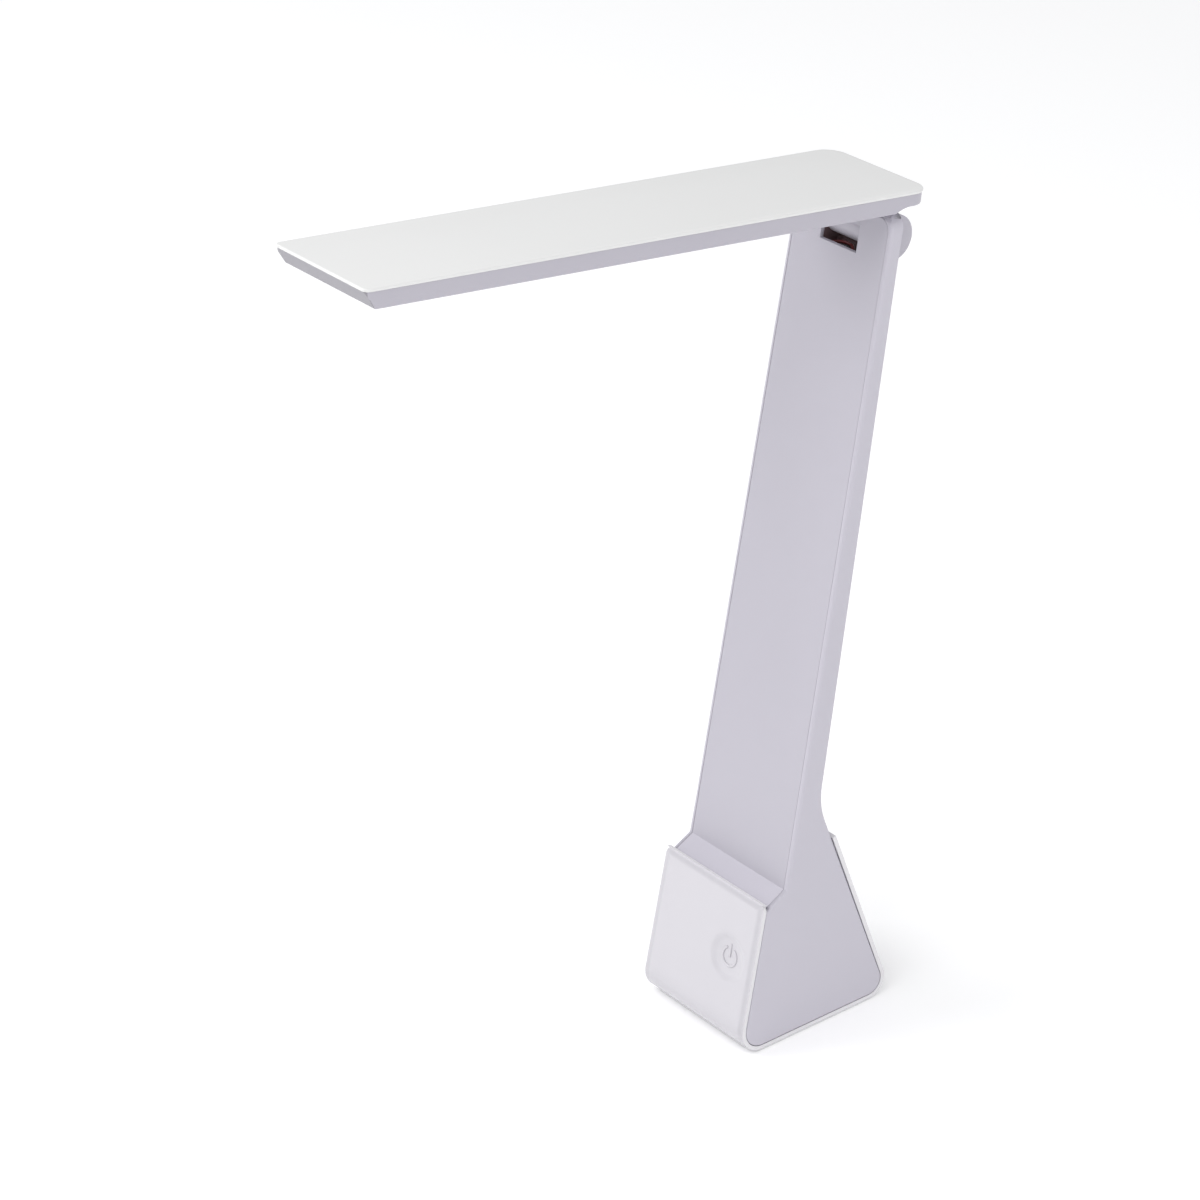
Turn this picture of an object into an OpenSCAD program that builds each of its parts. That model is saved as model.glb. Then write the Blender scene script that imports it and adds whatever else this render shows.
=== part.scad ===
// Folding LED desk lamp: a wedge base with a white wrap cover, a leaning flat arm,
// and a thin light head on a friction hinge at the arm's top.
// Millimetres. X is across the lamp, -Y is towards the head's tip, +Z is up.
// The origin is the centre of the footprint, on the underside of the rubber pad.

/* [Base] */
// Width of the base at its foot
base_w = 60; // [56:1:70]
// Depth of the foot, between the extended front and back faces
base_d = 80.5; // [78:0.5:90]
// Lean of the front face from upright, in degrees
front_lean = 11; // [9:0.5:13]
// Lean of the back face from upright, in degrees
back_lean = 20.8; // [19:0.2:22]
// Height of the cover's front plate
front_h = 65; // [60:1:70]
// Height of the cover's back plate
back_h = 83; // [78:1:86]
// Wall of the wrap cover
cover_t = 1.75; // [1.4:0.05:2.2]
// Radius of the cover's front bottom corner
front_corner_r = 10.4; // [8:0.2:12]
// Radius of the cover's rear bottom corner
rear_corner_r = 8; // [6:0.2:10]
// Draft of the sides from base to arm top, in degrees
side_draft = 0.665; // [0.4:0.005:0.8]

/* [Touch key] */
// Diameter of the dished touch recess
dish_d = 17; // [13:0.5:20]
// Depth of the dish
dish_depth = 0.8; // [0.4:0.1:1]
// Distance of the dish from the middle of the front plate
dish_x = 15; // [8:0.5:17]
// Height of the dish on the front plate
dish_z = 37; // [30:1:42]
// Diameter of the touch sensor behind the dish
sensor_d = 15; // [10:0.5:16]
// Thickness of the touch sensor
sensor_t = 1; // [0.6:0.1:1.6]

/* [Arm] */
// Lean of the arm's front face from upright, in degrees
arm_lean = 9.84; // [8:0.1:11]
// Lean of the arm's back face from upright, in degrees
arm_back_lean = 8.62; // [7.6:0.02:9.2]
// Distance from the front foot line to the arm's extended front face
arm_setback = 12.05; // [10:0.25:14]
// Depth of the arm at foot level, front face to back face
arm_foot_depth = 12.95; // [12:0.05:15]
// Height of the crease between the arm and its sloping shoulder
crease_z = 67.5; // [66:0.5:72]
// Pitch of the shoulder, in degrees
shoulder_pitch = 28; // [22:1:32]
// Radius of the fillet between the arm's back and the base
heel_r = 30; // [15:1:35]
// Thickness of the front panel
panel_t = 1.6; // [1.2:0.1:2]
// Wall of the rear shell, seen as a rim beside the front panel
wall_t = 1.7; // [1.4:0.1:2.2]
// Radius of the arm's top corners, seen from the front
arm_corner_r = 7; // [5:0.5:8]

/* [Hinge] */
// Height of the hinge axis
axis_z = 321.5; // [300:0.5:330]
// Distance of the hinge axis behind the arm's front face
axis_behind = 8.4; // [8:0.1:9]
// Radius of the two barrels
barrel_r = 8.9; // [8.4:0.1:9.2]
// Radius of the knuckle between the barrels
knuckle_r = 6.3; // [5.8:0.1:8.8]
// Half width from barrel end to barrel end
barrel_end_x = 19.7; // [18.6:0.1:21]
// Half width of the knuckle
knuckle_x = 9.5; // [9:0.1:10]
// Side clearance between knuckle and barrels
knuckle_gap = 0.25; // [0.2:0.05:0.4]
// Radius of the arm's rounded top about the hinge axis
crown_r = 11.7; // [11:0.1:11.8]
// Half thickness of the neck between knuckle and head
neck_half = 6; // [5:0.1:6.2]
// Diameter of the hinge pin
pin_d = 5; // [4:0.5:6]
// Radial running clearance of the hinge pin and the wire bush
running_gap = 0.05; // [0.02:0.01:0.1]
// Outer diameter of the wire bush
bush_d = 8; // [7:0.2:9]
// Wall of the wire bush
bush_wall = 1; // [0.8:0.1:1.2]
// Radius of the cavity for the friction stack inside a barrel
stack_r = 6; // [5.6:0.1:6.4]
// Thickness of the wall between the knuckle and that cavity
web_t = 2.55; // [2:0.05:3]
// Thickness of the barrels' closed ends
barrel_end_t = 1.5; // [1:0.1:2]

/* [Head] */
// Length of the head
head_len = 251.3; // [245:0.1:255]
// Width of the head at the hinge end
head_w = 54.5; // [52:0.5:58]
// Width of the head at the tip
head_tip_w = 52.3; // [50:0.1:58]
// Thickness of the whole head
head_t = 7.7; // [7.2:0.1:8.4]
// Thickness of the white top plate
plate_t = 1.3; // [1:0.1:1.6]
// Wall of the lower tray
tray_wall = 1.5; // [1.2:0.1:1.8]
// Floor of the lower tray
tray_floor = 1.4; // [1.2:0.1:1.6]
// Edge of the top plate that stands out past the tray
plate_lip = 0.4; // [0.2:0.1:0.8]
// Radius of the head's corners at the hinge end
head_corner_r = 8; // [6:0.5:9]
// Radius of the head's corners at the tip
tip_corner_r = 2.5; // [2:0.25:4]
// How far the tip wall slopes back under the plate
tip_slope = 4.4; // [3:0.2:6]
// Hinge axis to the head's rear end, along the head
axis_to_end = 9.1; // [8:0.1:10]
// Hinge axis to the head's top face
axis_to_top = 19.85; // [19.8:0.05:21]
// Thickness of the rear lip over the hinge
lip_t = 5.75; // [5:0.05:6.2]
// Tilt of the head in the pose shown, tip up, in degrees
head_tilt = 5.82; // [0:0.1:12]

/* [Light] */
// Half width of the light window
window_x = 20; // [16:0.5:20.5]
// Distance of the window from the tip
window_from_tip = 14; // [12:1:20]
// Distance from the window's end to the hinge axis
window_to_axis = 23.2; // [22:0.1:40]
// Thickness of the light guide
guide_t = 3; // [2.5:0.1:3.2]
// Thickness of the reflector sheet
reflector_t = 0.4; // [0.3:0.1:0.6]
// LEDs along each side
leds_per_side = 24; // [12:1:32]

/* [Inside the base] */
// Thickness of the steel counterweight
weight_t = 10; // [6:0.5:10.5]
// Width of the counterweight
weight_w = 34; // [28:1:35]
// Depth of the counterweight
weight_d = 50; // [40:1:52]
// Thickness of the battery cell
cell_t = 8.5; // [6:0.5:8.5]
// Width of the battery cell
cell_w = 34; // [28:1:35]
// Depth of the battery cell
cell_d = 48; // [40:1:50]
// Height of the posts that carry the chassis
post_z = 21.6; // [21.6:0.1:23]
// Thickness of the chassis plate
chassis_t = 1.6; // [1.2:0.1:2]
// Height of the board's standoffs
standoff_h = 3; // [2:0.5:4]
// Thickness of the circuit board
board_t = 1.6; // [1:0.1:1.6]
// Width of the charging socket
socket_w = 9; // [7.5:0.1:9.2]
// Height of the charging socket
socket_h = 3.2; // [2.6:0.1:3.4]
// How far the rubber pad stands out of the cover
pad_proud = 0.6; // [0.4:0.1:1]
// Diameter of a hinge lead
lead_d = 1.3; // [1:0.1:1.4]

/* [Hidden] */
$fn = 96;

// General allowances
seam = 0.2;       // gap between cover and shell, seen as a thin dark line
fit_gap = 0.15;   // gap round a piece that drops into a recess
touch_gap = 0.05; // gap between faces that press on each other
far = 600;        // longer than anything in the lamp
arc_overlap = 0.004; // keeps an arc and its straight line from meeting in a sliver

// Base geometry, z counted from the cover's underside
front_foot_y = -base_d / 2;
back_foot_y = base_d / 2;
front_arc_y = front_foot_y + front_corner_r * (1 + sin(front_lean)) / cos(front_lean);
rear_arc_y = back_foot_y - rear_corner_r * (1 + sin(back_lean)) / cos(back_lean);
shell_inset = cover_t + seam;
arm_foot_y = front_foot_y + arm_setback;
arm_back_foot_y = arm_foot_y + arm_foot_depth;
crease_y = arm_foot_y + crease_z * tan(arm_lean);
axis_y = arm_foot_y + axis_z * tan(arm_lean) + axis_behind / cos(arm_lean);
crown_z = axis_z + crown_r;
slot_x = knuckle_x + 0.3;
knuckle_room_gap = 0.35;
neck_room_gap = 0.5;
slot_z = axis_z - neck_half - neck_room_gap;
cradle_drop = 4.6;
cradle_clear = 1; // keeps the cradle under the neck when the head points up

// Where the shell's back line meets the arm's back line, for the heel fillet
back_shell_y = back_foot_y - shell_inset / cos(back_lean);
heel_z = (back_shell_y - arm_back_foot_y) / (tan(arm_back_lean) + tan(back_lean));
heel_y = arm_back_foot_y + heel_z * tan(arm_back_lean);
heel_turn = (arm_back_lean + back_lean) / 2;
heel_run = heel_r * tan(heel_turn);

// Screw places in the base, and the heights of what is stacked there
screw_x = base_w / 2 - 8;
screw_y = [-21, 20];
boss_h = 3.4;
boss_r = 4;
post_r = 3.4;
screw_r = 1.15;
base_screw_l = 10;
post_thread_l = 6;
board_thread_l = 5;
pilot_r = 1.2;
pad_w = base_w - 14;
pad_d = 48;
pad_corner_r = 6;
pad_sunk = 0.6;
weight_z = cover_t + touch_gap;
cell_z = weight_z + weight_t + touch_gap;
chassis_z = post_z + touch_gap;
board_z = chassis_z + chassis_t + standoff_h;
board_w = 38;
board_d = 40;
board_hole_in = 3;
socket_z = board_z + board_t;
socket_d = 7.4;
socket_y = back_foot_y - (socket_z + socket_h) * tan(back_lean) - 0.5;
socket_past_board = 5.95;
board_y = socket_y - socket_past_board - board_d / 2;

// The head, with s counted from the tip and n down from the top face
head_axis_s = head_len - axis_to_end;
window_len = head_axis_s - window_to_axis - window_from_tip;
underside_to_axis = axis_to_top - head_t;
cove_r = axis_to_top - lip_t;
floor_n = head_t - tray_floor;
flange_t = 1.5;
boss_top_n = floor_n - 1.6;
flange_n = boss_top_n - flange_t;
flange_x = 14;
flange_s = [-11, 7];
flange_screw_x = 12;
flange_screw_s = [-9, 5];
guide_x = 22.3;
guide_margin = 2.5;
led_depth = 0.8;
strip_t = 1;
strip_x = guide_x + 0.2 + led_depth;
strip_h = 4;
window_end = window_from_tip + window_len;
link_s = window_end + guide_margin + 0.6;
link_d = 5;
link_t = 1;

// Hinge stack along X
barrel_in_x = knuckle_x + knuckle_gap;
web_out_x = barrel_in_x + web_t;
room_end_x = barrel_end_x - barrel_end_t;
washer_t = 0.8;
spring_t = 1.6;
nut_t = 2.4;
spring_x = web_out_x + washer_t + touch_gap;
nut_x = spring_x + spring_t + touch_gap;
pin_end_x = nut_x + nut_t + 0.1;
pin_in_x = -1;
bush_in_x = 6.5;
lead_gap = lead_d / 2 + 0.12;
lead_meet_x = -6.1;
neck_lead_x = -4.5;

// Puts the lamp on its pad
module seated() {
    translate([0, 0, pad_proud]) children();
}

// A (y, z) outline, drawn out across the lamp about its middle
module across(width) {
    rotate([90, 0, 90]) linear_extrude(width, center = true) children();
}

// The same, from x_low to x_high
module across_from(x_low, x_high) {
    translate([(x_low + x_high) / 2, 0, 0]) across(x_high - x_low) children();
}

// A round bar along X on the hinge axis, from x_low to x_high
module axle(radius, x_low, x_high) {
    translate([x_low, axis_y, axis_z]) rotate([0, 90, 0]) cylinder(r = radius, h = x_high - x_low);
}

function half_width(z) = base_w / 2 - z * tan(side_draft);

// Front view of the stand, drawn in by inset, with rounded corners at the top
module width_mask(inset = 0) {
    corner = arm_corner_r - inset;
    top = crown_z - inset;
    shoulder = top - corner;
    rotate([90, 0, 0]) linear_extrude(far, center = true) {
        polygon([[-half_width(-2) + inset, -2], [half_width(-2) - inset, -2],
            [half_width(shoulder) - inset, shoulder], [-half_width(shoulder) + inset, shoulder]]);
        for (side = [-1, 1])
            translate([side * (half_width(shoulder) - inset - corner), shoulder]) circle(corner);
        translate([-half_width(shoulder) + inset + corner, shoulder - 1])
            square([2 * (half_width(shoulder) - inset - corner), corner + 1]);
    }
}

// Base outline in (y, z), drawn in by inset, straight up to the given height
module base_outline(inset, height) {
    bottom_front_r = front_corner_r - inset;
    bottom_rear_r = rear_corner_r - inset;
    polygon([[front_arc_y, inset], [rear_arc_y, inset],
        [rear_arc_y + bottom_rear_r * cos(back_lean), rear_corner_r + bottom_rear_r * sin(back_lean)],
        [back_foot_y - height * tan(back_lean) - inset / cos(back_lean), height],
        [front_foot_y + height * tan(front_lean) + inset / cos(front_lean), height],
        [front_arc_y - bottom_front_r * cos(front_lean), front_corner_r + bottom_front_r * sin(front_lean)]]);
    translate([front_arc_y, front_corner_r]) circle(bottom_front_r);
    translate([rear_arc_y, rear_corner_r]) circle(bottom_rear_r + arc_overlap);
}

// All that lies behind the arm's front face, by depth or more
module behind_front(depth) {
    translate([arm_foot_y, 0]) rotate(-arm_lean) translate([depth, -far]) square([far, 2 * far]);
}

// All that lies before the arm's back face, by depth or more
module before_back(depth) {
    translate([arm_back_foot_y, 0]) rotate(-arm_back_lean) translate([-far - depth, -far])
        square([far, 2 * far]);
}

// All that lies under the shoulder's face, by depth or more
module under_shoulder(depth) {
    translate([crease_y, crease_z]) rotate(shoulder_pitch) translate([-far, -far - depth])
        square([2 * far, far]);
}

// All heights from low to high
module level(low, high) {
    translate([-far, low]) square([2 * far, high - low]);
}

// Side outline of the whole lilac body
module body_outline() {
    intersection() {
        behind_front(0);
        before_back(0);
        level(heel_z - 20, far);
        union() {
            level(-far, axis_z);
            translate([axis_y, axis_z]) circle(crown_r);
        }
    }
    intersection() {
        base_outline(shell_inset, heel_z);
        union() {
            under_shoulder(0);
            behind_front(0);
        }
    }
    heel_fillet();
}

// The hollow curve where the arm's back runs into the base
module heel_fillet() {
    arm_dir = [sin(arm_back_lean), cos(arm_back_lean)];
    base_dir = [sin(back_lean), -cos(back_lean)];
    corner = [heel_y, heel_z];
    arm_end = corner + heel_run * arm_dir;
    base_end = corner + heel_run * base_dir;
    centre = arm_end + heel_r * [cos(arm_back_lean), -sin(arm_back_lean)];
    difference() {
        polygon([corner - [3, 0], arm_end, corner + [heel_r / 4, 0], base_end]);
        translate(centre) circle(heel_r, $fn = 180);
        translate(centre) rotate(-heel_turn) translate([0, -far / 2]) square([far, far]);
    }
}

// Side outline of the room inside the shell, open to the front and below
module cavity_outline() {
    intersection() {
        before_back(wall_t);
        behind_front(-5);
        level(heel_z - 20, axis_z - barrel_r - 1.8);
    }
    intersection() {
        difference() {
            base_outline(shell_inset + wall_t, heel_z);
            level(heel_z - 2, far);
        }
        union() {
            under_shoulder(-5);
            behind_front(-5);
        }
    }
    // open bottom and front, which the cover closes
    translate([front_foot_y - 5, -5]) square([rear_arc_y - front_foot_y + 5, 20]);
    polygon([[front_foot_y - 5, -5], [front_foot_y + 12, -5], [crease_y - 6, crease_z + 5],
        [front_foot_y - 5, crease_z + 5]]);
}

// Side outline of the front panel with its shoulder
module panel_outline(gap = 0) {
    intersection() {
        difference() {
            behind_front(0);
            behind_front(panel_t + gap);
        }
        level(crease_z - gap, far);
        union() {
            level(-far, axis_z);
            translate([axis_y, axis_z]) circle(crown_r);
        }
    }
    intersection() {
        difference() {
            under_shoulder(0);
            under_shoulder(panel_t + gap);
            behind_front(panel_t + gap);
        }
        base_outline(shell_inset, crease_z + 1);
    }
    // the bend between the two
    intersection() {
        behind_front(0);
        under_shoulder(-1);
        difference() {
            behind_front(0);
            behind_front(panel_t + gap);
        }
        level(crease_z - panel_t, crease_z + 1);
    }
}

// Places something on the cover's front plate, z along the outward normal
module on_front_plate(x, z) {
    translate([x, front_foot_y + z * tan(front_lean), z]) rotate([90 - front_lean, 0, 0]) children();
}

// A rectangle with true round corners
module round_plate(width, depth, height, radius) {
    linear_extrude(height) {
        square([width - 2 * radius, depth], center = true);
        square([width, depth - 2 * radius], center = true);
        for (x = [-1, 1], y = [-1, 1])
            translate([x * (width / 2 - radius), y * (depth / 2 - radius)]) circle(radius);
    }
}

// The four places of the base screws
module at_screws() {
    for (x = [-screw_x, screw_x], y = screw_y) translate([x, y, 0]) children();
}

// A round tube swept along points, with the ring planes halfway between its runs
function unit(v) = v / norm(v);
function run_dir(path, i) = let (last = len(path) - 1)
    i == 0 ? unit(path[1] - path[0])
    : i == last ? unit(path[last] - path[last - 1])
    : unit(unit(path[i] - path[i - 1]) + unit(path[i + 1] - path[i]));
function side_dir(dir, across_dir) = unit(cross(dir, across_dir));
module tube(path, radius, across_dir, sides = 8) {
    rings = [for (i = [0:len(path) - 1])
        let (dir = run_dir(path, i), a = side_dir(dir, across_dir), b = cross(dir, a))
        for (k = [0:sides - 1]) path[i] + radius * (cos(360 * k / sides) * a + sin(360 * k / sides) * b)];
    count = len(path);
    polyhedron(rings, concat(
        [[for (k = [0:sides - 1]) k]],
        [for (i = [0:count - 2]) for (k = [0:sides - 1])
            [i * sides + k, (i + 1) * sides + k,
                (i + 1) * sides + (k + 1) % sides, i * sides + (k + 1) % sides]],
        [[for (k = [sides - 1:-1:0]) (count - 1) * sides + k]]));
}

// The head's own frame: X across, Y from tip to hinge, Z up from the top face
module head_frame() {
    translate([0, axis_y, axis_z]) rotate([-head_tilt, 0, 0]) translate([0, -head_axis_s, axis_to_top])
        children();
}

// Plan of the head, drawn in by inset, from its own tip
module head_plan(inset, tip_cut = 0) {
    tip = inset + tip_cut;
    end = head_len - inset;
    tip_half = head_tip_w / 2 - inset;
    end_half = head_w / 2 - inset;
    tip_r = max(tip_corner_r - inset, 0.5);
    end_r = head_corner_r - inset;
    polygon([[-tip_half + tip_r, tip], [tip_half - tip_r, tip], [tip_half, tip + tip_r],
        [end_half, end - end_r], [end_half - end_r, end], [-end_half + end_r, end],
        [-end_half, end - end_r], [-tip_half, tip + tip_r]]);
    for (side = [-1, 1]) {
        translate([side * (tip_half - tip_r), tip + tip_r]) circle(tip_r);
        translate([side * (end_half - end_r), end - end_r]) circle(end_r);
    }
}

// The white cover that wraps the front, the underside and the back of the base
module base_cover() color("white") seated() difference() {
    union() {
        intersection() {
            across(far) difference() {
                base_outline(0, back_h);
                base_outline(cover_t, back_h + 1);
                translate([-far, front_h]) square([far, far]);
            }
            width_mask();
        }
        intersection() {
            at_screws() cylinder(r = boss_r, h = boss_h);
            across(far) base_outline(cover_t / 2, back_h);
        }
        touch_mark();
    }
    on_front_plate(dish_x, dish_z) dish();
    translate([0, 0, -1]) round_plate(pad_w + 2 * fit_gap, pad_d + 2 * fit_gap, pad_sunk + 1, pad_corner_r);
    at_screws() {
        translate([0, 0, -1]) cylinder(r = pilot_r, h = boss_h + 2);
        translate([0, 0, -1]) cylinder(r = 2.4, h = 2.6);
    }
    socket_opening(0.4);
}

// The shallow dish that a fingertip finds
module dish() {
    ball_r = (pow(dish_d / 2, 2) + dish_depth * dish_depth) / (2 * dish_depth);
    difference() {
        translate([0, 0, ball_r - dish_depth]) rotate([90, 0, 0]) sphere(ball_r, $fn = 200);
        power_sign();
    }
}

// The raised standby sign in the dish: an open ring and a bar
module power_sign() {
    sign_r = 3.6;
    line = 0.7;
    translate([0, 0, -2]) linear_extrude(2 - dish_depth + 0.3) {
        difference() {
            circle(sign_r + line / 2, $fn = 48);
            circle(sign_r - line / 2, $fn = 48);
            translate([-1.7, 0]) square([3.4, 6]);
        }
        translate([-line / 2, 0]) square([line, 5]);
    }
}

// Keeps the sign joined to the plate behind the dish
module touch_mark() {
    on_front_plate(dish_x, dish_z) translate([0, 0, -cover_t - 0.3])
        cylinder(d = dish_d, h = 0.5);
}

// The way through cover and shell for the charging plug
module socket_opening(gap) {
    translate([-socket_w / 2 - gap, socket_y - socket_d, socket_z - gap])
        cube([socket_w + 2 * gap, far / 10, socket_h + 2 * gap]);
}

// The rubber pad in the cover's underside
module non_slip_pad() color("dimgray")
    round_plate(pad_w, pad_d, pad_proud + pad_sunk - touch_gap, pad_corner_r - fit_gap);

// Four screws that hold the cover to the shell's posts
module base_screws() color("silver") seated() at_screws() {
    translate([0, 0, 0.7]) cylinder(r = 2.2, h = 0.8);
    translate([0, 0, 0.7]) cylinder(r = screw_r, h = base_screw_l);
}

// The steel plate that keeps the lamp upright under its head
module counterweight() color("gray") seated()
    translate([0, 0, weight_z]) round_plate(weight_w, weight_d, weight_t, 3);

// The flat lithium cell on the counterweight
module battery_cell() color("lightsteelblue") seated()
    translate([0, 0, cell_z]) round_plate(cell_w, cell_d, cell_t, 2);

// The plate that holds the cell down and carries the board
module chassis() color("whitesmoke") seated() {
    difference() {
        union() {
            translate([0, (screw_y[0] + screw_y[1]) / 2, chassis_z])
                round_plate(2 * screw_x + 8, screw_y[1] - screw_y[0] + 8, chassis_t, 3);
            at_board_corners() translate([0, 0, chassis_z]) cylinder(r = 2.4, h = chassis_t + standoff_h);
        }
        at_screws() translate([0, 0, chassis_z - 1]) cylinder(r = pilot_r + 0.15, h = 4);
        at_board_corners() translate([0, 0, chassis_z - 1]) cylinder(r = 0.8, h = 8);
    }
}

// The four corners where the board is fixed
module at_board_corners() {
    for (x = [-1, 1], y = [-1, 1])
        translate([x * (board_w / 2 - board_hole_in), board_y + y * (board_d / 2 - 2 * board_hole_in), 0])
            children();
}

// Screws into the posts, and into the board's standoffs
module chassis_screws() color("silver") seated() {
    at_screws() {
        translate([0, 0, chassis_z + chassis_t + touch_gap]) cylinder(r = 2, h = 1.2);
        translate([0, 0, chassis_z - post_thread_l])
            cylinder(r = screw_r, h = post_thread_l + chassis_t + touch_gap);
    }
    at_board_corners() {
        translate([0, 0, socket_z + touch_gap]) cylinder(r = 1.7, h = 1);
        translate([0, 0, socket_z - board_thread_l]) cylinder(r = 0.75, h = board_thread_l + touch_gap);
    }
}

// The charging, dimming and touch circuit board
module main_board() color("darkgreen") seated() difference() {
    translate([-board_w / 2, board_y - board_d / 2, board_z + touch_gap])
        cube([board_w, board_d, board_t - touch_gap]);
    at_board_corners() translate([0, 0, board_z - 1]) cylinder(r = 0.9, h = 4);
}

// What is soldered to the board: chips, coil and lead connector
module board_parts() color("black") seated() translate([0, board_y, socket_z + touch_gap]) {
    translate([-10, -3, 0]) cube([7, 5, 1.4]);
    translate([3, -1, 0]) cube([5, 4, 1.2]);
    translate([-1, 8, 0]) cylinder(r = 2.6, h = 3);
    translate([-4.5, 3 - board_d / 2, 0]) cube([9, 4.5, 4]);
}

// The charging socket at the back, a metal shell with its tongue
module charging_socket() color("silver") seated()
    translate([-socket_w / 2, socket_y - socket_d, socket_z + touch_gap]) difference() {
        cube([socket_w, socket_d, socket_h]);
        difference() {
            translate([0.35, 1.5, 0.35]) cube([socket_w - 0.7, socket_d, socket_h - 0.7]);
            translate([1.6, 1, socket_h / 2 - 0.35]) cube([socket_w - 3.2, socket_d - 2, 0.7]);
        }
    }

// The disc that feels the finger, on the inside of the front plate
module touch_sensor() color("goldenrod") seated()
    on_front_plate(dish_x, dish_z) translate([0, 0, -cover_t - 0.3 - touch_gap - sensor_t])
        cylinder(d = sensor_d, h = sensor_t);

// The lead from the touch sensor to the board
module touch_lead() color("white") seated() {
    behind = cover_t + 0.3 + 2 * touch_gap + sensor_t;
    start = [dish_x, front_foot_y + dish_z * tan(front_lean) + behind * cos(front_lean),
        dish_z - behind * sin(front_lean)];
    back = [0, cos(front_lean), -sin(front_lean)];
    tube([start, start + 2 * back, start + 3.5 * back + [-1, 0, -0.8], start + [-4, 5, -4],
        [5, board_y - board_d / 2 - 4, socket_z + 5], [2.5, board_y - board_d / 2 - 1.5, socket_z + 2.6],
        [1.5, board_y - board_d / 2 + 1, socket_z + 2], [1.5, board_y - board_d / 2 + 2.9, socket_z + 2]],
        0.6, [1, 0, 0.3]);
}

// The lilac shell: the sides of the base, the back and sides of the arm, and its barrels
module stand_shell() color("lavender") seated() difference() {
    union() {
        difference() {
            intersection() {
                across(far) body_outline();
                width_mask();
            }
            intersection() {
                across(far) cavity_outline();
                width_mask(wall_t);
            }
            intersection() {
                across(far) panel_outline(touch_gap);
                width_mask(wall_t);
            }
        }
        for (side = [-1, 1]) shell_barrel(side);
        across(2 * barrel_in_x + web_t) difference() {
            intersection() {
                cradle_outline();
                level(-far, slot_z - cradle_clear);
            }
            before_back(wall_t);
        }
        shell_posts();
    }
    knuckle_room();
    hinge_bores();
    socket_opening(0.7);
}

// One of the two barrels that hold the hinge, cut flat behind the front panel
module shell_barrel(side) {
    intersection() {
        axle(barrel_r, side > 0 ? barrel_in_x : -barrel_end_x, side > 0 ? barrel_end_x : -barrel_in_x);
        across(far) behind_front(panel_t + touch_gap);
    }
}

// Side outline of the cradle that closes the arm's end behind and under the knuckle:
// the barrels' round, run out along a tangent to the arm's back
module cradle_outline(inset = 0) {
    centre = [axis_y, axis_z];
    low = cradle_foot(axis_z - barrel_r - cradle_drop, inset);
    high = cradle_foot(axis_z, inset);
    reach = norm(centre - low);
    way = atan2(centre[1] - low[1], centre[0] - low[0]) - asin((barrel_r - inset) / reach);
    run = sqrt(reach * reach - (barrel_r - inset) * (barrel_r - inset));
    translate(centre) circle(barrel_r - inset);
    polygon([low - [1, 0], low, low + run * [cos(way), sin(way)], centre, high, high - [1, 0]]);
}

function cradle_foot(z, inset) = [arm_back_foot_y + z * tan(arm_back_lean) - inset / cos(arm_back_lean), z];

// Room for the knuckle, its neck and the leads that cross under it, open to the top
module knuckle_room() {
    axle(knuckle_r + knuckle_room_gap, -barrel_in_x, barrel_in_x);
    across(2 * barrel_in_x) intersection() {
        cradle_outline(wall_t);
        level(axis_z - barrel_r - cradle_drop, slot_z + 1);
        translate([-far, -far]) square([far + axis_y - 1.2, 2 * far]);
    }
    translate([-barrel_in_x, axis_y - 30, axis_z]) cube([2 * barrel_in_x, 60, 40]);
    translate([-barrel_in_x, axis_y - 30, slot_z]) cube([2 * barrel_in_x, 30, 40]);
    across(2 * barrel_in_x) intersection() {
        behind_front(-5);
        before_back(wall_t);
        level(axis_z - barrel_r - 4, axis_z + 1);
    }
}

// Bores of the hinge: pin and friction stack on the right, bush and leads on the left.
// Both rooms are open to the front, where the panel closes them.
module hinge_bores() {
    axle(pin_d / 2 + running_gap, barrel_in_x - 1, web_out_x + 1);
    axle(bush_d / 2 + 0.02, -web_out_x - 1, -barrel_in_x + 1);
    for (side = [-1, 1]) {
        low_x = side > 0 ? web_out_x : -room_end_x;
        high_x = side > 0 ? room_end_x : -web_out_x;
        axle(stack_r, low_x, high_x);
        across_from(low_x, high_x) intersection() {
            behind_front(panel_t + touch_gap);
            level(axis_z - stack_r, axis_z + stack_r);
            translate([-far, -far]) square([far + axis_y, 2 * far]);
        }
    }
    across_from(-room_end_x, -web_out_x) intersection() {
        behind_front(panel_t + touch_gap);
        before_back(wall_t);
        level(axis_z - barrel_r - 3, axis_z + 2);
    }
}

// Posts that take the base screws from below and the chassis screws from above
module shell_posts() {
    difference() {
        intersection() {
            union() {
                at_screws() translate([0, 0, boss_h + seam]) cylinder(r = post_r, h = post_z - boss_h - seam);
                for (x = [-1, 1], y = screw_y)
                    translate([x * (screw_x + 4.5) - 2.5, y - 1, boss_h + seam])
                        cube([5, 2, post_z - boss_h - seam]);
            }
            across(far) base_outline(shell_inset + 0.5, heel_z);
            width_mask(wall_t / 2);
        }
        at_screws() {
            translate([0, 0, boss_h]) cylinder(r = pilot_r, h = 8.4);
            translate([0, 0, post_z - 7]) cylinder(r = pilot_r, h = 8);
        }
    }
}

// The flush panel down the arm's front, bent over the shoulder, with the knuckle's slot
module arm_front_panel() color("lavender") seated() difference() {
    intersection() {
        across(far) panel_outline();
        width_mask(wall_t + fit_gap);
    }
    translate([-slot_x, axis_y - 30, slot_z]) cube([2 * slot_x, 60, 40]);
}

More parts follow.
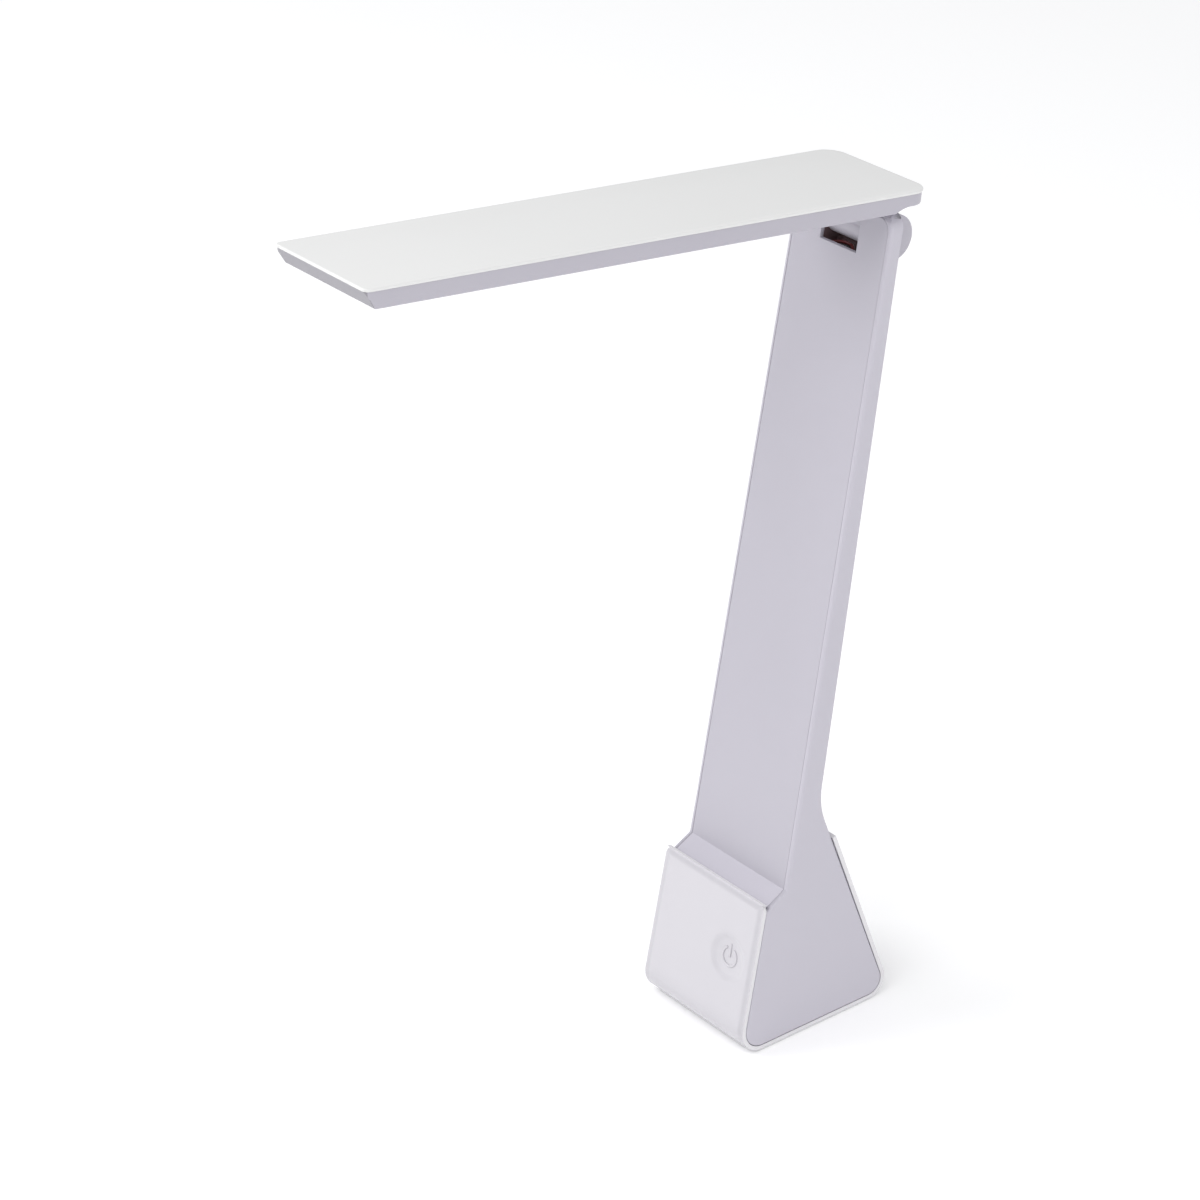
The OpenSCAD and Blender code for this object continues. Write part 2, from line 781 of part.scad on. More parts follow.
// The two leads inside the arm, from the board up and round into the left barrel.
// Each stop is a point of their middle line and the way in which they lie apart.
function arm_mid_y(z) = (arm_foot_y + z * tan(arm_lean) + panel_t + arm_back_foot_y
    + z * tan(arm_back_lean) - wall_t) / 2;
lead_low_y = board_y - board_d / 2 + 5.2;
lead_under_y = arm_mid_y(axis_z - barrel_r);
lead_room_x = -(web_out_x + room_end_x) / 2;
lead_bend = 2.4;
function arm_lead_stops() = let (y = lead_under_y, x = lead_room_x, bend = lead_bend, part = 0.707 * bend,
        top = axis_z - barrel_r + 0.7, low = axis_z - barrel_r - 4.6, right = 7.9, left = -5.6,
        mid_y = axis_y - 4.6, mid_z = axis_z - 7.65) [
    [[0, lead_low_y, socket_z + 4.2], [1, 0, 0]],
    [[0, lead_low_y, socket_z + 9], [1, 0, 0]],
    [[0, lead_low_y + 2.8, socket_z + 20], [1, 0, 0]],
    [[0, arm_mid_y(75), 75], [1, 0, 0]],
    [[0, arm_mid_y(120), 120], [1, 0, 0]],
    [[0, arm_mid_y(210), 210], [1, 0, 0]],
    [[4.3, arm_mid_y(axis_z - 31), axis_z - 31], [1, 0, 0]],
    [[7.5, arm_mid_y(axis_z - 20), axis_z - 20], [1, 0, 0]],
    [[right, y - 0.2, top - bend - 3], [1, 0, 0]],
    [[right, y, top - bend], [1, 0, 0]],
    [[right - bend + part, y, top - bend + part], [0.707, 0, 0.707]],
    [[right - bend, y, top], [0, 0, 1]],
    [[3.7, (y + mid_y) / 2, (top + mid_z) / 2], [0, 0.6, 0.8]],
    [[1.9, mid_y, mid_z], [0, 0.9, 0.436]],
    [[-2.2, mid_y, mid_z], [0, 0.9, 0.436]],
    [[-4, (y + mid_y) / 2, (top + mid_z) / 2], [0, 0.6, 0.8]],
    [[left, y, top], [0, 0, 1]],
    [[left - part, y, top - bend + part], [-0.707, 0, 0.707]],
    [[left - bend, y, top - bend], [-1, 0, 0]],
    [[left - 2 * bend + part, y - 0.4, low + bend - part], [-0.707, 0, 0.707]],
    [[left - 2 * bend, y - 0.4, low], [0, 0, 1]],
    [[x + bend, y - 0.4, low], [0, 0, 1]],
    [[x + bend - part, y - 0.4, low + bend - part], [0.707, 0, 0.707]],
    [[x, y - 0.4, low + bend], [1, 0, 0]],
    [[x, y + 0.1, axis_z - 7.2], [1, 0, 0]],
    [[x, y + 0.5, axis_z - 5], [1, 0, 0]],
    [[x, axis_y - 5.7, axis_z - 3.1], [1, 0, 0]],
    [[x, axis_y - 4.4, axis_z - 1.4], [1, 0, 0]],
    [[x, axis_y - bend, axis_z - 0.3], [1, 0, 0]],
    [[x + bend - part, axis_y - bend + part, axis_z], [0.707, -0.707, 0]],
    [[x + bend, axis_y, axis_z], [0, -1, 0]],
    [[lead_meet_x - 0.1, axis_y, axis_z], [0, -1, 0]]];
function arm_lead_path(step) = [for (stop = arm_lead_stops()) stop[0] + step * stop[1]];

// The red lead up the arm
module arm_lead_red() color("darkred") seated() tube(arm_lead_path(lead_gap), lead_d / 2, [0.2, 1, 0.1]);

// The black lead beside it
module arm_lead_black() color("black") seated() tube(arm_lead_path(-lead_gap), lead_d / 2, [0.2, 1, 0.1]);

// The hollow bush that the knuckle turns on and the leads pass through
module wire_bush() color("white") seated() difference() {
    axle(bush_d / 2, -web_out_x, -bush_in_x);
    axle(bush_d / 2 - bush_wall, -web_out_x - 1, -bush_in_x + 1);
}

// The friction washer against the barrel's web
module friction_washer() color("tan") seated() difference() {
    axle(stack_r - 0.3, web_out_x, web_out_x + washer_t);
    axle(pin_d / 2 + running_gap, web_out_x - 1, web_out_x + washer_t + 1);
}

// The steel pin, held in the knuckle and turning in the barrel
module hinge_pin() color("silver") seated() axle(pin_d / 2, pin_in_x, pin_end_x);

// Two disc springs that load the friction washer
module spring_washers() color("gray") seated() difference() {
    axle(stack_r - 0.6, spring_x, spring_x + spring_t);
    axle(pin_d / 2 + 0.1, spring_x - 1, spring_x + spring_t + 1);
    for (gap = [0.5])
        translate([spring_x + spring_t * gap - 0.06, axis_y, axis_z]) rotate([0, 90, 0]) difference() {
            cylinder(r = stack_r, h = 0.12);
            translate([0, 0, -1]) cylinder(r = stack_r - 2.2, h = 2);
        }
}

// The nut that sets the friction
module hinge_nut() color("silver") seated() difference() {
    translate([nut_x, axis_y, axis_z]) rotate([0, 90, 0]) cylinder(r = 4.9, h = nut_t, $fn = 6);
    axle(pin_d / 2 + 0.02, nut_x - 1, nut_x + nut_t + 1);
}

// The knuckle between the barrels, with its neck up to a flange inside the head
module hinge_knuckle() color("lavender") seated() difference() {
    union() {
        axle(knuckle_r, -knuckle_x, knuckle_x);
        head_frame() {
            translate([-knuckle_x, head_axis_s - neck_half, -axis_to_top])
                cube([2 * knuckle_x, 2 * neck_half, axis_to_top - flange_n - flange_t / 2]);
            translate([-flange_x, head_axis_s + flange_s[0], -flange_n - flange_t])
                cube([2 * flange_x, flange_s[1] - flange_s[0], flange_t]);
        }
    }
    axle(pin_d / 2 + 0.01, pin_in_x, knuckle_x + 1);
    axle(bush_d / 2 + running_gap, -knuckle_x - 1, -bush_in_x + 0.3);
    axle(3, -bush_in_x, -3);
    head_frame() {
        translate([-bush_in_x + 0.3, head_axis_s - 2.4, -axis_to_top]) cube([3.4, 4.8, axis_to_top]);
        at_flange_screws() translate([0, 0, -flange_n - flange_t - 1]) cylinder(r = 1.15, h = 4);
    }
}

// The places of the four screws through the knuckle's flange
module at_flange_screws() {
    for (x = [-1, 1], s = flange_screw_s) translate([x * flange_screw_x, head_axis_s + s, 0]) children();
}

// The four screws that hold the knuckle to the tray
module knuckle_screws() color("silver") seated() head_frame() at_flange_screws() {
    translate([0, 0, -flange_n + touch_gap]) cylinder(r = 1.9, h = 1);
    translate([0, 0, -floor_n - 0.3]) cylinder(r = 0.9, h = floor_n - flange_n + 0.3 + touch_gap);
}

// The lilac tray under the top plate, with its light window and its hollow over the hinge
module head_tray() color("lavender") seated() head_frame() difference() {
    union() {
        difference() {
            tray_block(plate_lip, 0);
            translate([0, 0, tray_floor]) tray_block(plate_lip + tray_wall, tray_floor);
            translate([-window_x, window_from_tip, -head_t - 1]) cube([2 * window_x, window_len, head_t]);
        }
        tray_lip_wall();
        at_flange_screws() translate([0, 0, -floor_n - 0.1])
            cylinder(r = 2.4, h = floor_n - boss_top_n + 0.1);
    }
    translate([-far / 2, head_axis_s, -axis_to_top]) rotate([0, 90, 0])
        cylinder(r = cove_r, h = far, $fn = 180);
    translate([-far / 2, head_axis_s, -head_t - 1]) cube([far, 60, head_t - lip_t + 1]);
    translate([-knuckle_x - fit_gap, head_axis_s - neck_half - fit_gap, -head_t - 1])
        cube([2 * knuckle_x + 2 * fit_gap, 2 * neck_half + 2 * fit_gap, head_t]);
    at_flange_screws() translate([0, 0, -floor_n - 0.35]) cylinder(r = 0.95, h = 4);
}

// The tray's outer form, with its tip wall sloping back under the plate
module tray_block(inset, raise) {
    depth = head_t - plate_t;
    slope = atan(tip_slope / depth);
    intersection() {
        translate([0, 0, -head_t]) linear_extrude(depth - raise + (raise > 0 ? 1 : 0)) head_plan(inset);
        translate([-far / 2, inset, -plate_t]) rotate([slope, 0, 0]) translate([0, 0, -far / 2])
            cube([far, far, far]);
    }
}

// The wall that backs the hollow over the hinge, so that the tray stays closed there
module tray_lip_wall() {
    intersection() {
        translate([0, 0, -head_t]) linear_extrude(head_t - plate_t) head_plan(plate_lip);
        difference() {
            translate([-far / 2, head_axis_s, -axis_to_top]) rotate([0, 90, 0])
                cylinder(r = cove_r + tray_floor, h = far, $fn = 180);
            translate([-flange_x - 0.3, head_axis_s + flange_s[0] - 0.3, -boss_top_n])
                cube([2 * flange_x + 0.6, flange_s[1] - flange_s[0] + 0.6, 20]);
        }
        translate([-far / 2, head_axis_s - cove_r, -head_t]) cube([far, 60, head_t - flange_n + 3]);
    }
}

// The thin white plate on top
module head_top_plate() color("white") seated() head_frame()
    translate([0, 0, -plate_t + touch_gap]) linear_extrude(plate_t - touch_gap) head_plan(0);

// One strip of LED board, standing beside the light guide
module led_strip(side) {
    translate([side > 0 ? strip_x : -strip_x - strip_t, window_from_tip, -floor_n + touch_gap])
        cube([strip_t, window_len, strip_h]);
}
module led_strip_left() color("ivory") seated() head_frame() led_strip(-1);
module led_strip_right() color("ivory") seated() head_frame() led_strip(1);

// The LEDs on both strips, facing the guide's edges
module leds() color("khaki") seated() head_frame() {
    pitch = window_len / leds_per_side;
    for (side = [-1, 1], i = [0:leds_per_side - 1])
        translate([side > 0 ? guide_x + 0.15 : -guide_x - 0.15 - led_depth,
                window_from_tip + (i + 0.5) * pitch - 1.4, -floor_n + 0.4])
            cube([led_depth, 2.8, 2.2]);
}

// The small board that joins the two strips and takes the leads
module led_link_board() color("ivory") seated() head_frame()
    translate([-strip_x - strip_t, link_s, -floor_n + touch_gap])
        cube([2 * (strip_x + strip_t), link_d, link_t]);

// The clear guide that spreads the light
module light_guide() color("azure", 0.5) seated() head_frame()
    translate([-guide_x, window_from_tip - guide_margin, -floor_n + touch_gap])
        cube([2 * guide_x, window_len + 2 * guide_margin, guide_t]);

// The white sheet that sends the light down
module reflector_sheet() color("white") seated() head_frame()
    translate([-guide_x, window_from_tip - guide_margin, -floor_n + guide_t + 2 * touch_gap])
        cube([2 * guide_x, window_len + 2 * guide_margin, reflector_t]);

// The opal window in the head's underside
module diffuser() color("white", 0.8) seated() head_frame()
    translate([-window_x + fit_gap, window_from_tip + fit_gap, -head_t])
        cube([2 * (window_x - fit_gap), window_len - 2 * fit_gap, tray_floor]);

// Points of the two leads in the head, from the hinge axis up the neck to the link board
function head_lead_path(step) =
    let (over = axis_to_top - flange_n + 0.85, at = axis_to_top - floor_n + link_t + 0.75)
    [[neck_lead_x + step, 0.9, -0.8], [neck_lead_x + step, 0.9, 6],
    [neck_lead_x + step, 0.9, over - 3], [neck_lead_x + step, 0.5, over - 1.5],
    [neck_lead_x + step, -0.6, over - 0.4], [neck_lead_x + step, -2.2, over],
    [neck_lead_x + step, -4, over], [neck_lead_x + step, -10.8, over],
    [neck_lead_x + step, -12.6, over - 0.5],
    [neck_lead_x + step, -14.4, at + 0.3],
    [neck_lead_x + step, link_s + link_d - 1 - head_axis_s, at]];
module head_lead(step) {
    head_frame() translate([0, head_axis_s, -axis_to_top])
        tube(head_lead_path(step), lead_d / 2, [0.3, 1, 0.2]);
}
module head_lead_red() color("darkred") seated() head_lead(lead_gap);
module head_lead_black() color("black") seated() head_lead(-lead_gap);

base_cover();
non_slip_pad();
base_screws();
counterweight();
battery_cell();
chassis();
chassis_screws();
main_board();
board_parts();
charging_socket();
touch_sensor();
touch_lead();
stand_shell();
arm_front_panel();
arm_lead_red();
arm_lead_black();
wire_bush();
friction_washer();
hinge_pin();
spring_washers();
hinge_nut();
hinge_knuckle();
knuckle_screws();
head_tray();
head_top_plate();
led_strip_left();
led_strip_right();
leds();
led_link_board();
light_guide();
reflector_sheet();
diffuser();
head_lead_red();
head_lead_black();
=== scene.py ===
import math

import bmesh
import bpy
from mathutils import Matrix, Vector


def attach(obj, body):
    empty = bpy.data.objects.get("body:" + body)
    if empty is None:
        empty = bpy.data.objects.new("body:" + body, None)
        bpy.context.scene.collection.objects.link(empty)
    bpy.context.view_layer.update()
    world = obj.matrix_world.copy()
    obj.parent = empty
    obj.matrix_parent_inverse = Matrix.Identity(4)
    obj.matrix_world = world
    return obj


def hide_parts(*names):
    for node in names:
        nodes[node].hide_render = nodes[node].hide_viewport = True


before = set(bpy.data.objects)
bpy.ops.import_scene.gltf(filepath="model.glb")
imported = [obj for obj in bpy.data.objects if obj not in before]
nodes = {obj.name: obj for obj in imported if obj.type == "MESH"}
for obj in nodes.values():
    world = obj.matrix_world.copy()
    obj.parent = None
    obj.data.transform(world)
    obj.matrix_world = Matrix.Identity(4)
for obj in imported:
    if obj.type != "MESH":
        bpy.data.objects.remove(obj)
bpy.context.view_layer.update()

print("frame loaded:", len(nodes), "nodes")

mm = 0.001

# Where the lamp's main parts stand, as in the CAD
lamp = {
    "seat": 0.6 * mm,  # the rubber pad lifts the cover this much
    "axisY": 36.089 * mm,
    "axisZ": 322.1 * mm,
    "headTilt": math.radians(5.82),
    "headAxisAlong": 242.2 * mm,  # tip to hinge axis
    "headAxisUnder": 19.85 * mm,  # top face down to the axis
    "frontLean": math.radians(11.0),
    "backLean": math.radians(20.8),
    "halfWidth": 30 * mm,  # at the foot
    "draft": math.tan(math.radians(0.665)),
    "footFront": -40.25 * mm,
    "footBack": 40.25 * mm,
}

# Turns the head's own frame (across, along from the tip, up from the top face) into the lamp's
headFrame = (
    Matrix.Translation((0, lamp["axisY"], lamp["axisZ"]))
    @ Matrix.Rotation(-lamp["headTilt"], 4, "X")
    @ Matrix.Translation((0, -lamp["headAxisAlong"], lamp["headAxisUnder"]))
)

photoView = {
    "place": (0.9395, -0.83895, 0.8315),
    "azimuth": 51.26,
    "elevation": 27.47,
    "lens": 112.0,
    "sensor": 36.0,
    "near": 0.05,
    "far": 60,
}


def addCamera(look):
    turn, rise = math.radians(look["azimuth"]), math.radians(look["elevation"])
    right = Vector((math.cos(turn), math.sin(turn), 0))
    back = Vector((math.sin(turn) * math.cos(rise), -math.cos(turn) * math.cos(rise), math.sin(rise)))
    place = Matrix((right, back.cross(right), back)).transposed().to_4x4()
    place.translation = look["place"]
    camera = bpy.data.objects.new("photoCamera", bpy.data.cameras.new("photoCamera"))
    camera.data.lens = look["lens"]
    camera.data.sensor_width = look["sensor"]
    camera.data.clip_start = look["near"]
    camera.data.clip_end = look["far"]
    camera.matrix_world = place
    bpy.context.scene.collection.objects.link(camera)
    bpy.context.scene.camera = camera


addCamera(photoView)

studio = {
    "floorSize": 8.0,
    "floorColor": (0.97, 0.97, 0.97, 1),
    "floorRoughness": 0.85,
    "floorGlow": 0.12,  # keeps the ground white
    "world": (0.95, 0.955, 0.97),
    "worldStrength": 0.66,
    "lamps": [
        # name, place, target, size, energy
        ("softboxLeft", (-1.3, -1.5, 1.7), (0, -0.05, 0.15), 1.4, 22),
        ("softboxTop", (0.4, -1.4, 2.1), (0, 0, 0.1), 1.4, 18),
        ("softboxRight", (1.8, 0.3, 0.9), (0, 0, 0.15), 1.2, 7),
    ],
}


def addStudio(look):
    floorMesh = bmesh.new()
    bmesh.ops.create_grid(floorMesh, x_segments=1, y_segments=1, size=look["floorSize"] / 2)
    mesh = bpy.data.meshes.new("floor")
    floorMesh.to_mesh(mesh)
    floorMesh.free()
    floor = bpy.data.objects.new("floor", mesh)
    bpy.context.scene.collection.objects.link(floor)
    material = bpy.data.materials.new("paleFloor")
    material.use_nodes = True
    shader = material.node_tree.nodes["Principled BSDF"]
    shader.inputs["Base Color"].default_value = look["floorColor"]
    shader.inputs["Roughness"].default_value = look["floorRoughness"]
    shader.inputs["Emission Color"].default_value = look["floorColor"]
    shader.inputs["Emission Strength"].default_value = look["floorGlow"]
    mesh.materials.append(material)

    world = bpy.data.worlds.new("studioWorld")
    world.use_nodes = True
    sky = world.node_tree.nodes["Background"]
    sky.inputs["Color"].default_value = (*look["world"], 1)
    sky.inputs["Strength"].default_value = look["worldStrength"]
    bpy.context.scene.world = world
    bpy.context.scene.view_settings.view_transform = "Standard"

    for name, place, target, size, energy in look["lamps"]:
        data = bpy.data.lights.new(name, "AREA")
        data.shape = "SQUARE"
        data.size = size
        data.energy = energy
        light = bpy.data.objects.new(name, data)
        light.location = place
        light.rotation_euler = (Vector(target) - Vector(place)).to_track_quat("-Z", "Y").to_euler()
        bpy.context.scene.collection.objects.link(light)


addStudio(studio)
print("camera, floor and lights set")


# Shared effects, as node groups
def newGroup(name, inputs, outputs):
    group = bpy.data.node_groups.new(name, "ShaderNodeTree")
    for label, kind, value in inputs:
        socket = group.interface.new_socket(name=label, in_out="INPUT", socket_type=kind)
        socket.default_value = value
    for label, kind in outputs:
        group.interface.new_socket(name=label, in_out="OUTPUT", socket_type=kind)
    return group, group.nodes.new("NodeGroupInput"), group.nodes.new("NodeGroupOutput")


def addNode(tree, kind, settings=None, **values):
    node = tree.nodes.new(kind)
    for key, value in (settings or {}).items():
        setattr(node, key, value)
    for label, value in values.items():
        node.inputs[label.replace("_", " ")].default_value = value
    return node


def makeMouldGrain():
    group, given, out = newGroup(
        "mouldGrain",
        [
            ("Scale", "NodeSocketFloat", 2500.0),
            ("Depth", "NodeSocketFloat", 0.1),
            ("Waviness", "NodeSocketFloat", 0.05),
        ],
        [("Normal", "NodeSocketVector")],
    )
    link = group.links.new
    where = addNode(group, "ShaderNodeTexCoord")
    fine = addNode(group, "ShaderNodeTexNoise", Detail=3.0, Roughness=0.6)
    wide = addNode(group, "ShaderNodeTexNoise", Scale=38.0, Detail=1.0, Roughness=0.4)
    grain = addNode(group, "ShaderNodeBump", Distance=0.00008)
    wave = addNode(group, "ShaderNodeBump", Distance=0.0012)
    link(where.outputs["Object"], fine.inputs["Vector"])
    link(where.outputs["Object"], wide.inputs["Vector"])
    link(given.outputs["Scale"], fine.inputs["Scale"])
    link(given.outputs["Waviness"], wave.inputs["Strength"])
    link(wide.outputs["Fac"], wave.inputs["Height"])
    link(given.outputs["Depth"], grain.inputs["Strength"])
    link(fine.outputs["Fac"], grain.inputs["Height"])
    link(wave.outputs["Normal"], grain.inputs["Normal"])
    link(grain.outputs["Normal"], out.inputs["Normal"])
    return group


def makeColourDrift():
    group, given, out = newGroup(
        "colourDrift",
        [
            ("Light", "NodeSocketColor", (0.8, 0.8, 0.8, 1)),
            ("Deep", "NodeSocketColor", (0.7, 0.7, 0.7, 1)),
            ("Scale", "NodeSocketFloat", 12.0),
        ],
        [("Color", "NodeSocketColor")],
    )
    link = group.links.new
    where = addNode(group, "ShaderNodeTexCoord")
    cloud = addNode(group, "ShaderNodeTexNoise", Detail=2.0, Roughness=0.5)
    spread = addNode(group, "ShaderNodeMapRange")
    spread.inputs["From Min"].default_value = 0.3
    spread.inputs["From Max"].default_value = 0.7
    mix = addNode(group, "ShaderNodeMix", {"data_type": "RGBA"})
    link(where.outputs["Object"], cloud.inputs["Vector"])
    link(given.outputs["Scale"], cloud.inputs["Scale"])
    link(cloud.outputs["Fac"], spread.inputs["Value"])
    link(spread.outputs["Result"], mix.inputs["Factor"])
    link(given.outputs["Light"], mix.inputs[6])
    link(given.outputs["Deep"], mix.inputs[7])
    link(mix.outputs[2], out.inputs["Color"])
    return group


def makeHandledGloss():
    group, given, out = newGroup(
        "handledGloss",
        [
            ("Base", "NodeSocketFloat", 0.4),
            ("Spread", "NodeSocketFloat", 0.05),
            ("Scale", "NodeSocketFloat", 60.0),
        ],
        [("Roughness", "NodeSocketFloat")],
    )
    link = group.links.new
    where = addNode(group, "ShaderNodeTexCoord")
    smear = addNode(group, "ShaderNodeTexNoise", Detail=4.0, Roughness=0.55)
    centre = addNode(group, "ShaderNodeMath", {"operation": "SUBTRACT"})
    centre.inputs[1].default_value = 0.5
    scaled = addNode(group, "ShaderNodeMath", {"operation": "MULTIPLY"})
    total = addNode(group, "ShaderNodeMath", {"operation": "ADD", "use_clamp": True})
    link(where.outputs["Object"], smear.inputs["Vector"])
    link(given.outputs["Scale"], smear.inputs["Scale"])
    link(smear.outputs["Fac"], centre.inputs[0])
    link(centre.outputs[0], scaled.inputs[0])
    link(given.outputs["Spread"], scaled.inputs[1])
    link(scaled.outputs[0], total.inputs[0])
    link(given.outputs["Base"], total.inputs[1])
    link(total.outputs[0], out.inputs["Roughness"])
    return group


def makeBrushedLines():
    group, given, out = newGroup(
        "brushedLines",
        [("Stretch", "NodeSocketVector", (40.0, 4000.0, 4000.0)), ("Depth", "NodeSocketFloat", 0.2)],
        [("Mask", "NodeSocketFloat"), ("Normal", "NodeSocketVector")],
    )
    link = group.links.new
    where = addNode(group, "ShaderNodeTexCoord")
    pull = addNode(group, "ShaderNodeVectorMath", {"operation": "MULTIPLY"})
    lines = addNode(group, "ShaderNodeTexNoise", Scale=1.0, Detail=2.0)
    bump = addNode(group, "ShaderNodeBump", Distance=0.00005)
    link(where.outputs["Object"], pull.inputs[0])
    link(given.outputs["Stretch"], pull.inputs[1])
    link(pull.outputs["Vector"], lines.inputs["Vector"])
    link(lines.outputs["Fac"], bump.inputs["Height"])
    link(given.outputs["Depth"], bump.inputs["Strength"])
    link(lines.outputs["Fac"], out.inputs["Mask"])
    link(bump.outputs["Normal"], out.inputs["Normal"])
    return group


def makeTraceLines():
    group, given, out = newGroup(
        "traceLines",
        [("Scale", "NodeSocketFloat", 300.0)],
        [("Mask", "NodeSocketFloat")],
    )
    link = group.links.new
    where = addNode(group, "ShaderNodeTexCoord")
    cells = addNode(group, "ShaderNodeTexVoronoi", {"distance": "MANHATTAN", "feature": "F1"})
    edge = addNode(group, "ShaderNodeMath", {"operation": "PINGPONG"})
    edge.inputs[1].default_value = 0.12
    step = addNode(group, "ShaderNodeMath", {"operation": "GREATER_THAN"})
    step.inputs[1].default_value = 0.07
    link(where.outputs["Object"], cells.inputs["Vector"])
    link(given.outputs["Scale"], cells.inputs["Scale"])
    link(cells.outputs["Distance"], edge.inputs[0])
    link(edge.outputs[0], step.inputs[0])
    link(step.outputs[0], out.inputs["Mask"])
    return group


groups = {
    "mouldGrain": makeMouldGrain(),
    "colourDrift": makeColourDrift(),
    "handledGloss": makeHandledGloss(),
    "brushedLines": makeBrushedLines(),
    "traceLines": makeTraceLines(),
}


def place(tree, name, **values):
    node = tree.nodes.new("ShaderNodeGroup")
    node.node_tree = groups[name]
    for label, value in values.items():
        node.inputs[label].default_value = value
    return node


def startMaterial(name):
    material = bpy.data.materials.new(name)
    material.use_nodes = True
    return material, material.node_tree, material.node_tree.nodes["Principled BSDF"]


def plastic(name, look):
    # moulded plastic: a faint drift of colour, handled gloss and a fine grain
    material, tree, shader = startMaterial(name)
    colour = place(tree, "colourDrift", Light=(*look["light"], 1), Deep=(*look["deep"], 1), Scale=14.0)
    gloss = place(tree, "handledGloss", Base=look["roughness"], Spread=0.06, Scale=55.0)
    grain = place(
        tree, "mouldGrain",
        Scale=look.get("grain", 2600.0), Depth=look.get("depth", 0.08), Waviness=look.get("wave", 0.02),
    )
    tone = colour.outputs["Color"]
    if "shade" in look:  # painted shade: the mesh marks where the tone is darkened to stand in for shade
        mark = addNode(tree, "ShaderNodeAttribute", {"attribute_name": "hollow"})
        deeper = addNode(tree, "ShaderNodeMix", {"data_type": "RGBA", "blend_type": "MULTIPLY"})
        deeper.inputs[7].default_value = (*look["shade"], 1)
        tree.links.new(mark.outputs["Fac"], deeper.inputs["Factor"])
        tree.links.new(tone, deeper.inputs[6])
        tone = deeper.outputs[2]
    tree.links.new(tone, shader.inputs["Base Color"])
    tree.links.new(gloss.outputs["Roughness"], shader.inputs["Roughness"])
    tree.links.new(grain.outputs["Normal"], shader.inputs["Normal"])
    shader.inputs["IOR"].default_value = 1.5
    shader.inputs["Coat Weight"].default_value = look.get("coat", 0.0)
    shader.inputs["Coat Roughness"].default_value = 0.1
    shader.inputs["Subsurface Weight"].default_value = look.get("milky", 0.0)
    shader.inputs["Subsurface Radius"].default_value = (0.003, 0.003, 0.003)
    return material


def metal(name, look):
    material, tree, shader = startMaterial(name)
    lines = place(tree, "brushedLines", Stretch=look.get("stretch", (60.0, 3500.0, 3500.0)), Depth=0.15)
    colour = addNode(tree, "ShaderNodeMix", {"data_type": "RGBA"})
    colour.inputs[6].default_value = (*look["light"], 1)
    colour.inputs[7].default_value = (*look["deep"], 1)
    gloss = place(tree, "handledGloss", Base=look["roughness"], Spread=0.1, Scale=400.0)
    tree.links.new(lines.outputs["Mask"], colour.inputs["Factor"])
    tree.links.new(colour.outputs[2], shader.inputs["Base Color"])
    tree.links.new(gloss.outputs["Roughness"], shader.inputs["Roughness"])
    tree.links.new(lines.outputs["Normal"], shader.inputs["Normal"])
    shader.inputs["Metallic"].default_value = 1.0
    return material


def circuit(name, look):
    material, tree, shader = startMaterial(name)
    traces = place(tree, "traceLines", Scale=look["traces"])
    colour = addNode(tree, "ShaderNodeMix", {"data_type": "RGBA"})
    colour.inputs[6].default_value = (*look["light"], 1)
    colour.inputs[7].default_value = (*look["deep"], 1)
    grain = place(tree, "mouldGrain", Scale=1800.0, Depth=0.05, Waviness=0.0)
    tree.links.new(traces.outputs["Mask"], colour.inputs["Factor"])
    tree.links.new(colour.outputs[2], shader.inputs["Base Color"])
    tree.links.new(grain.outputs["Normal"], shader.inputs["Normal"])
    shader.inputs["Roughness"].default_value = look["roughness"]
    shader.inputs["Coat Weight"].default_value = 0.3
    return material


def clearAcrylic(name, look):
    material, tree, shader = startMaterial(name)
    grain = place(tree, "mouldGrain", Scale=900.0, Depth=0.03, Waviness=0.0)
    tree.links.new(grain.outputs["Normal"], shader.inputs["Normal"])
    shader.inputs["Base Color"].default_value = (*look["light"], 1)
    shader.inputs["Roughness"].default_value = look["roughness"]
    shader.inputs["Transmission Weight"].default_value = 0.9
    shader.inputs["IOR"].default_value = 1.49
    return material


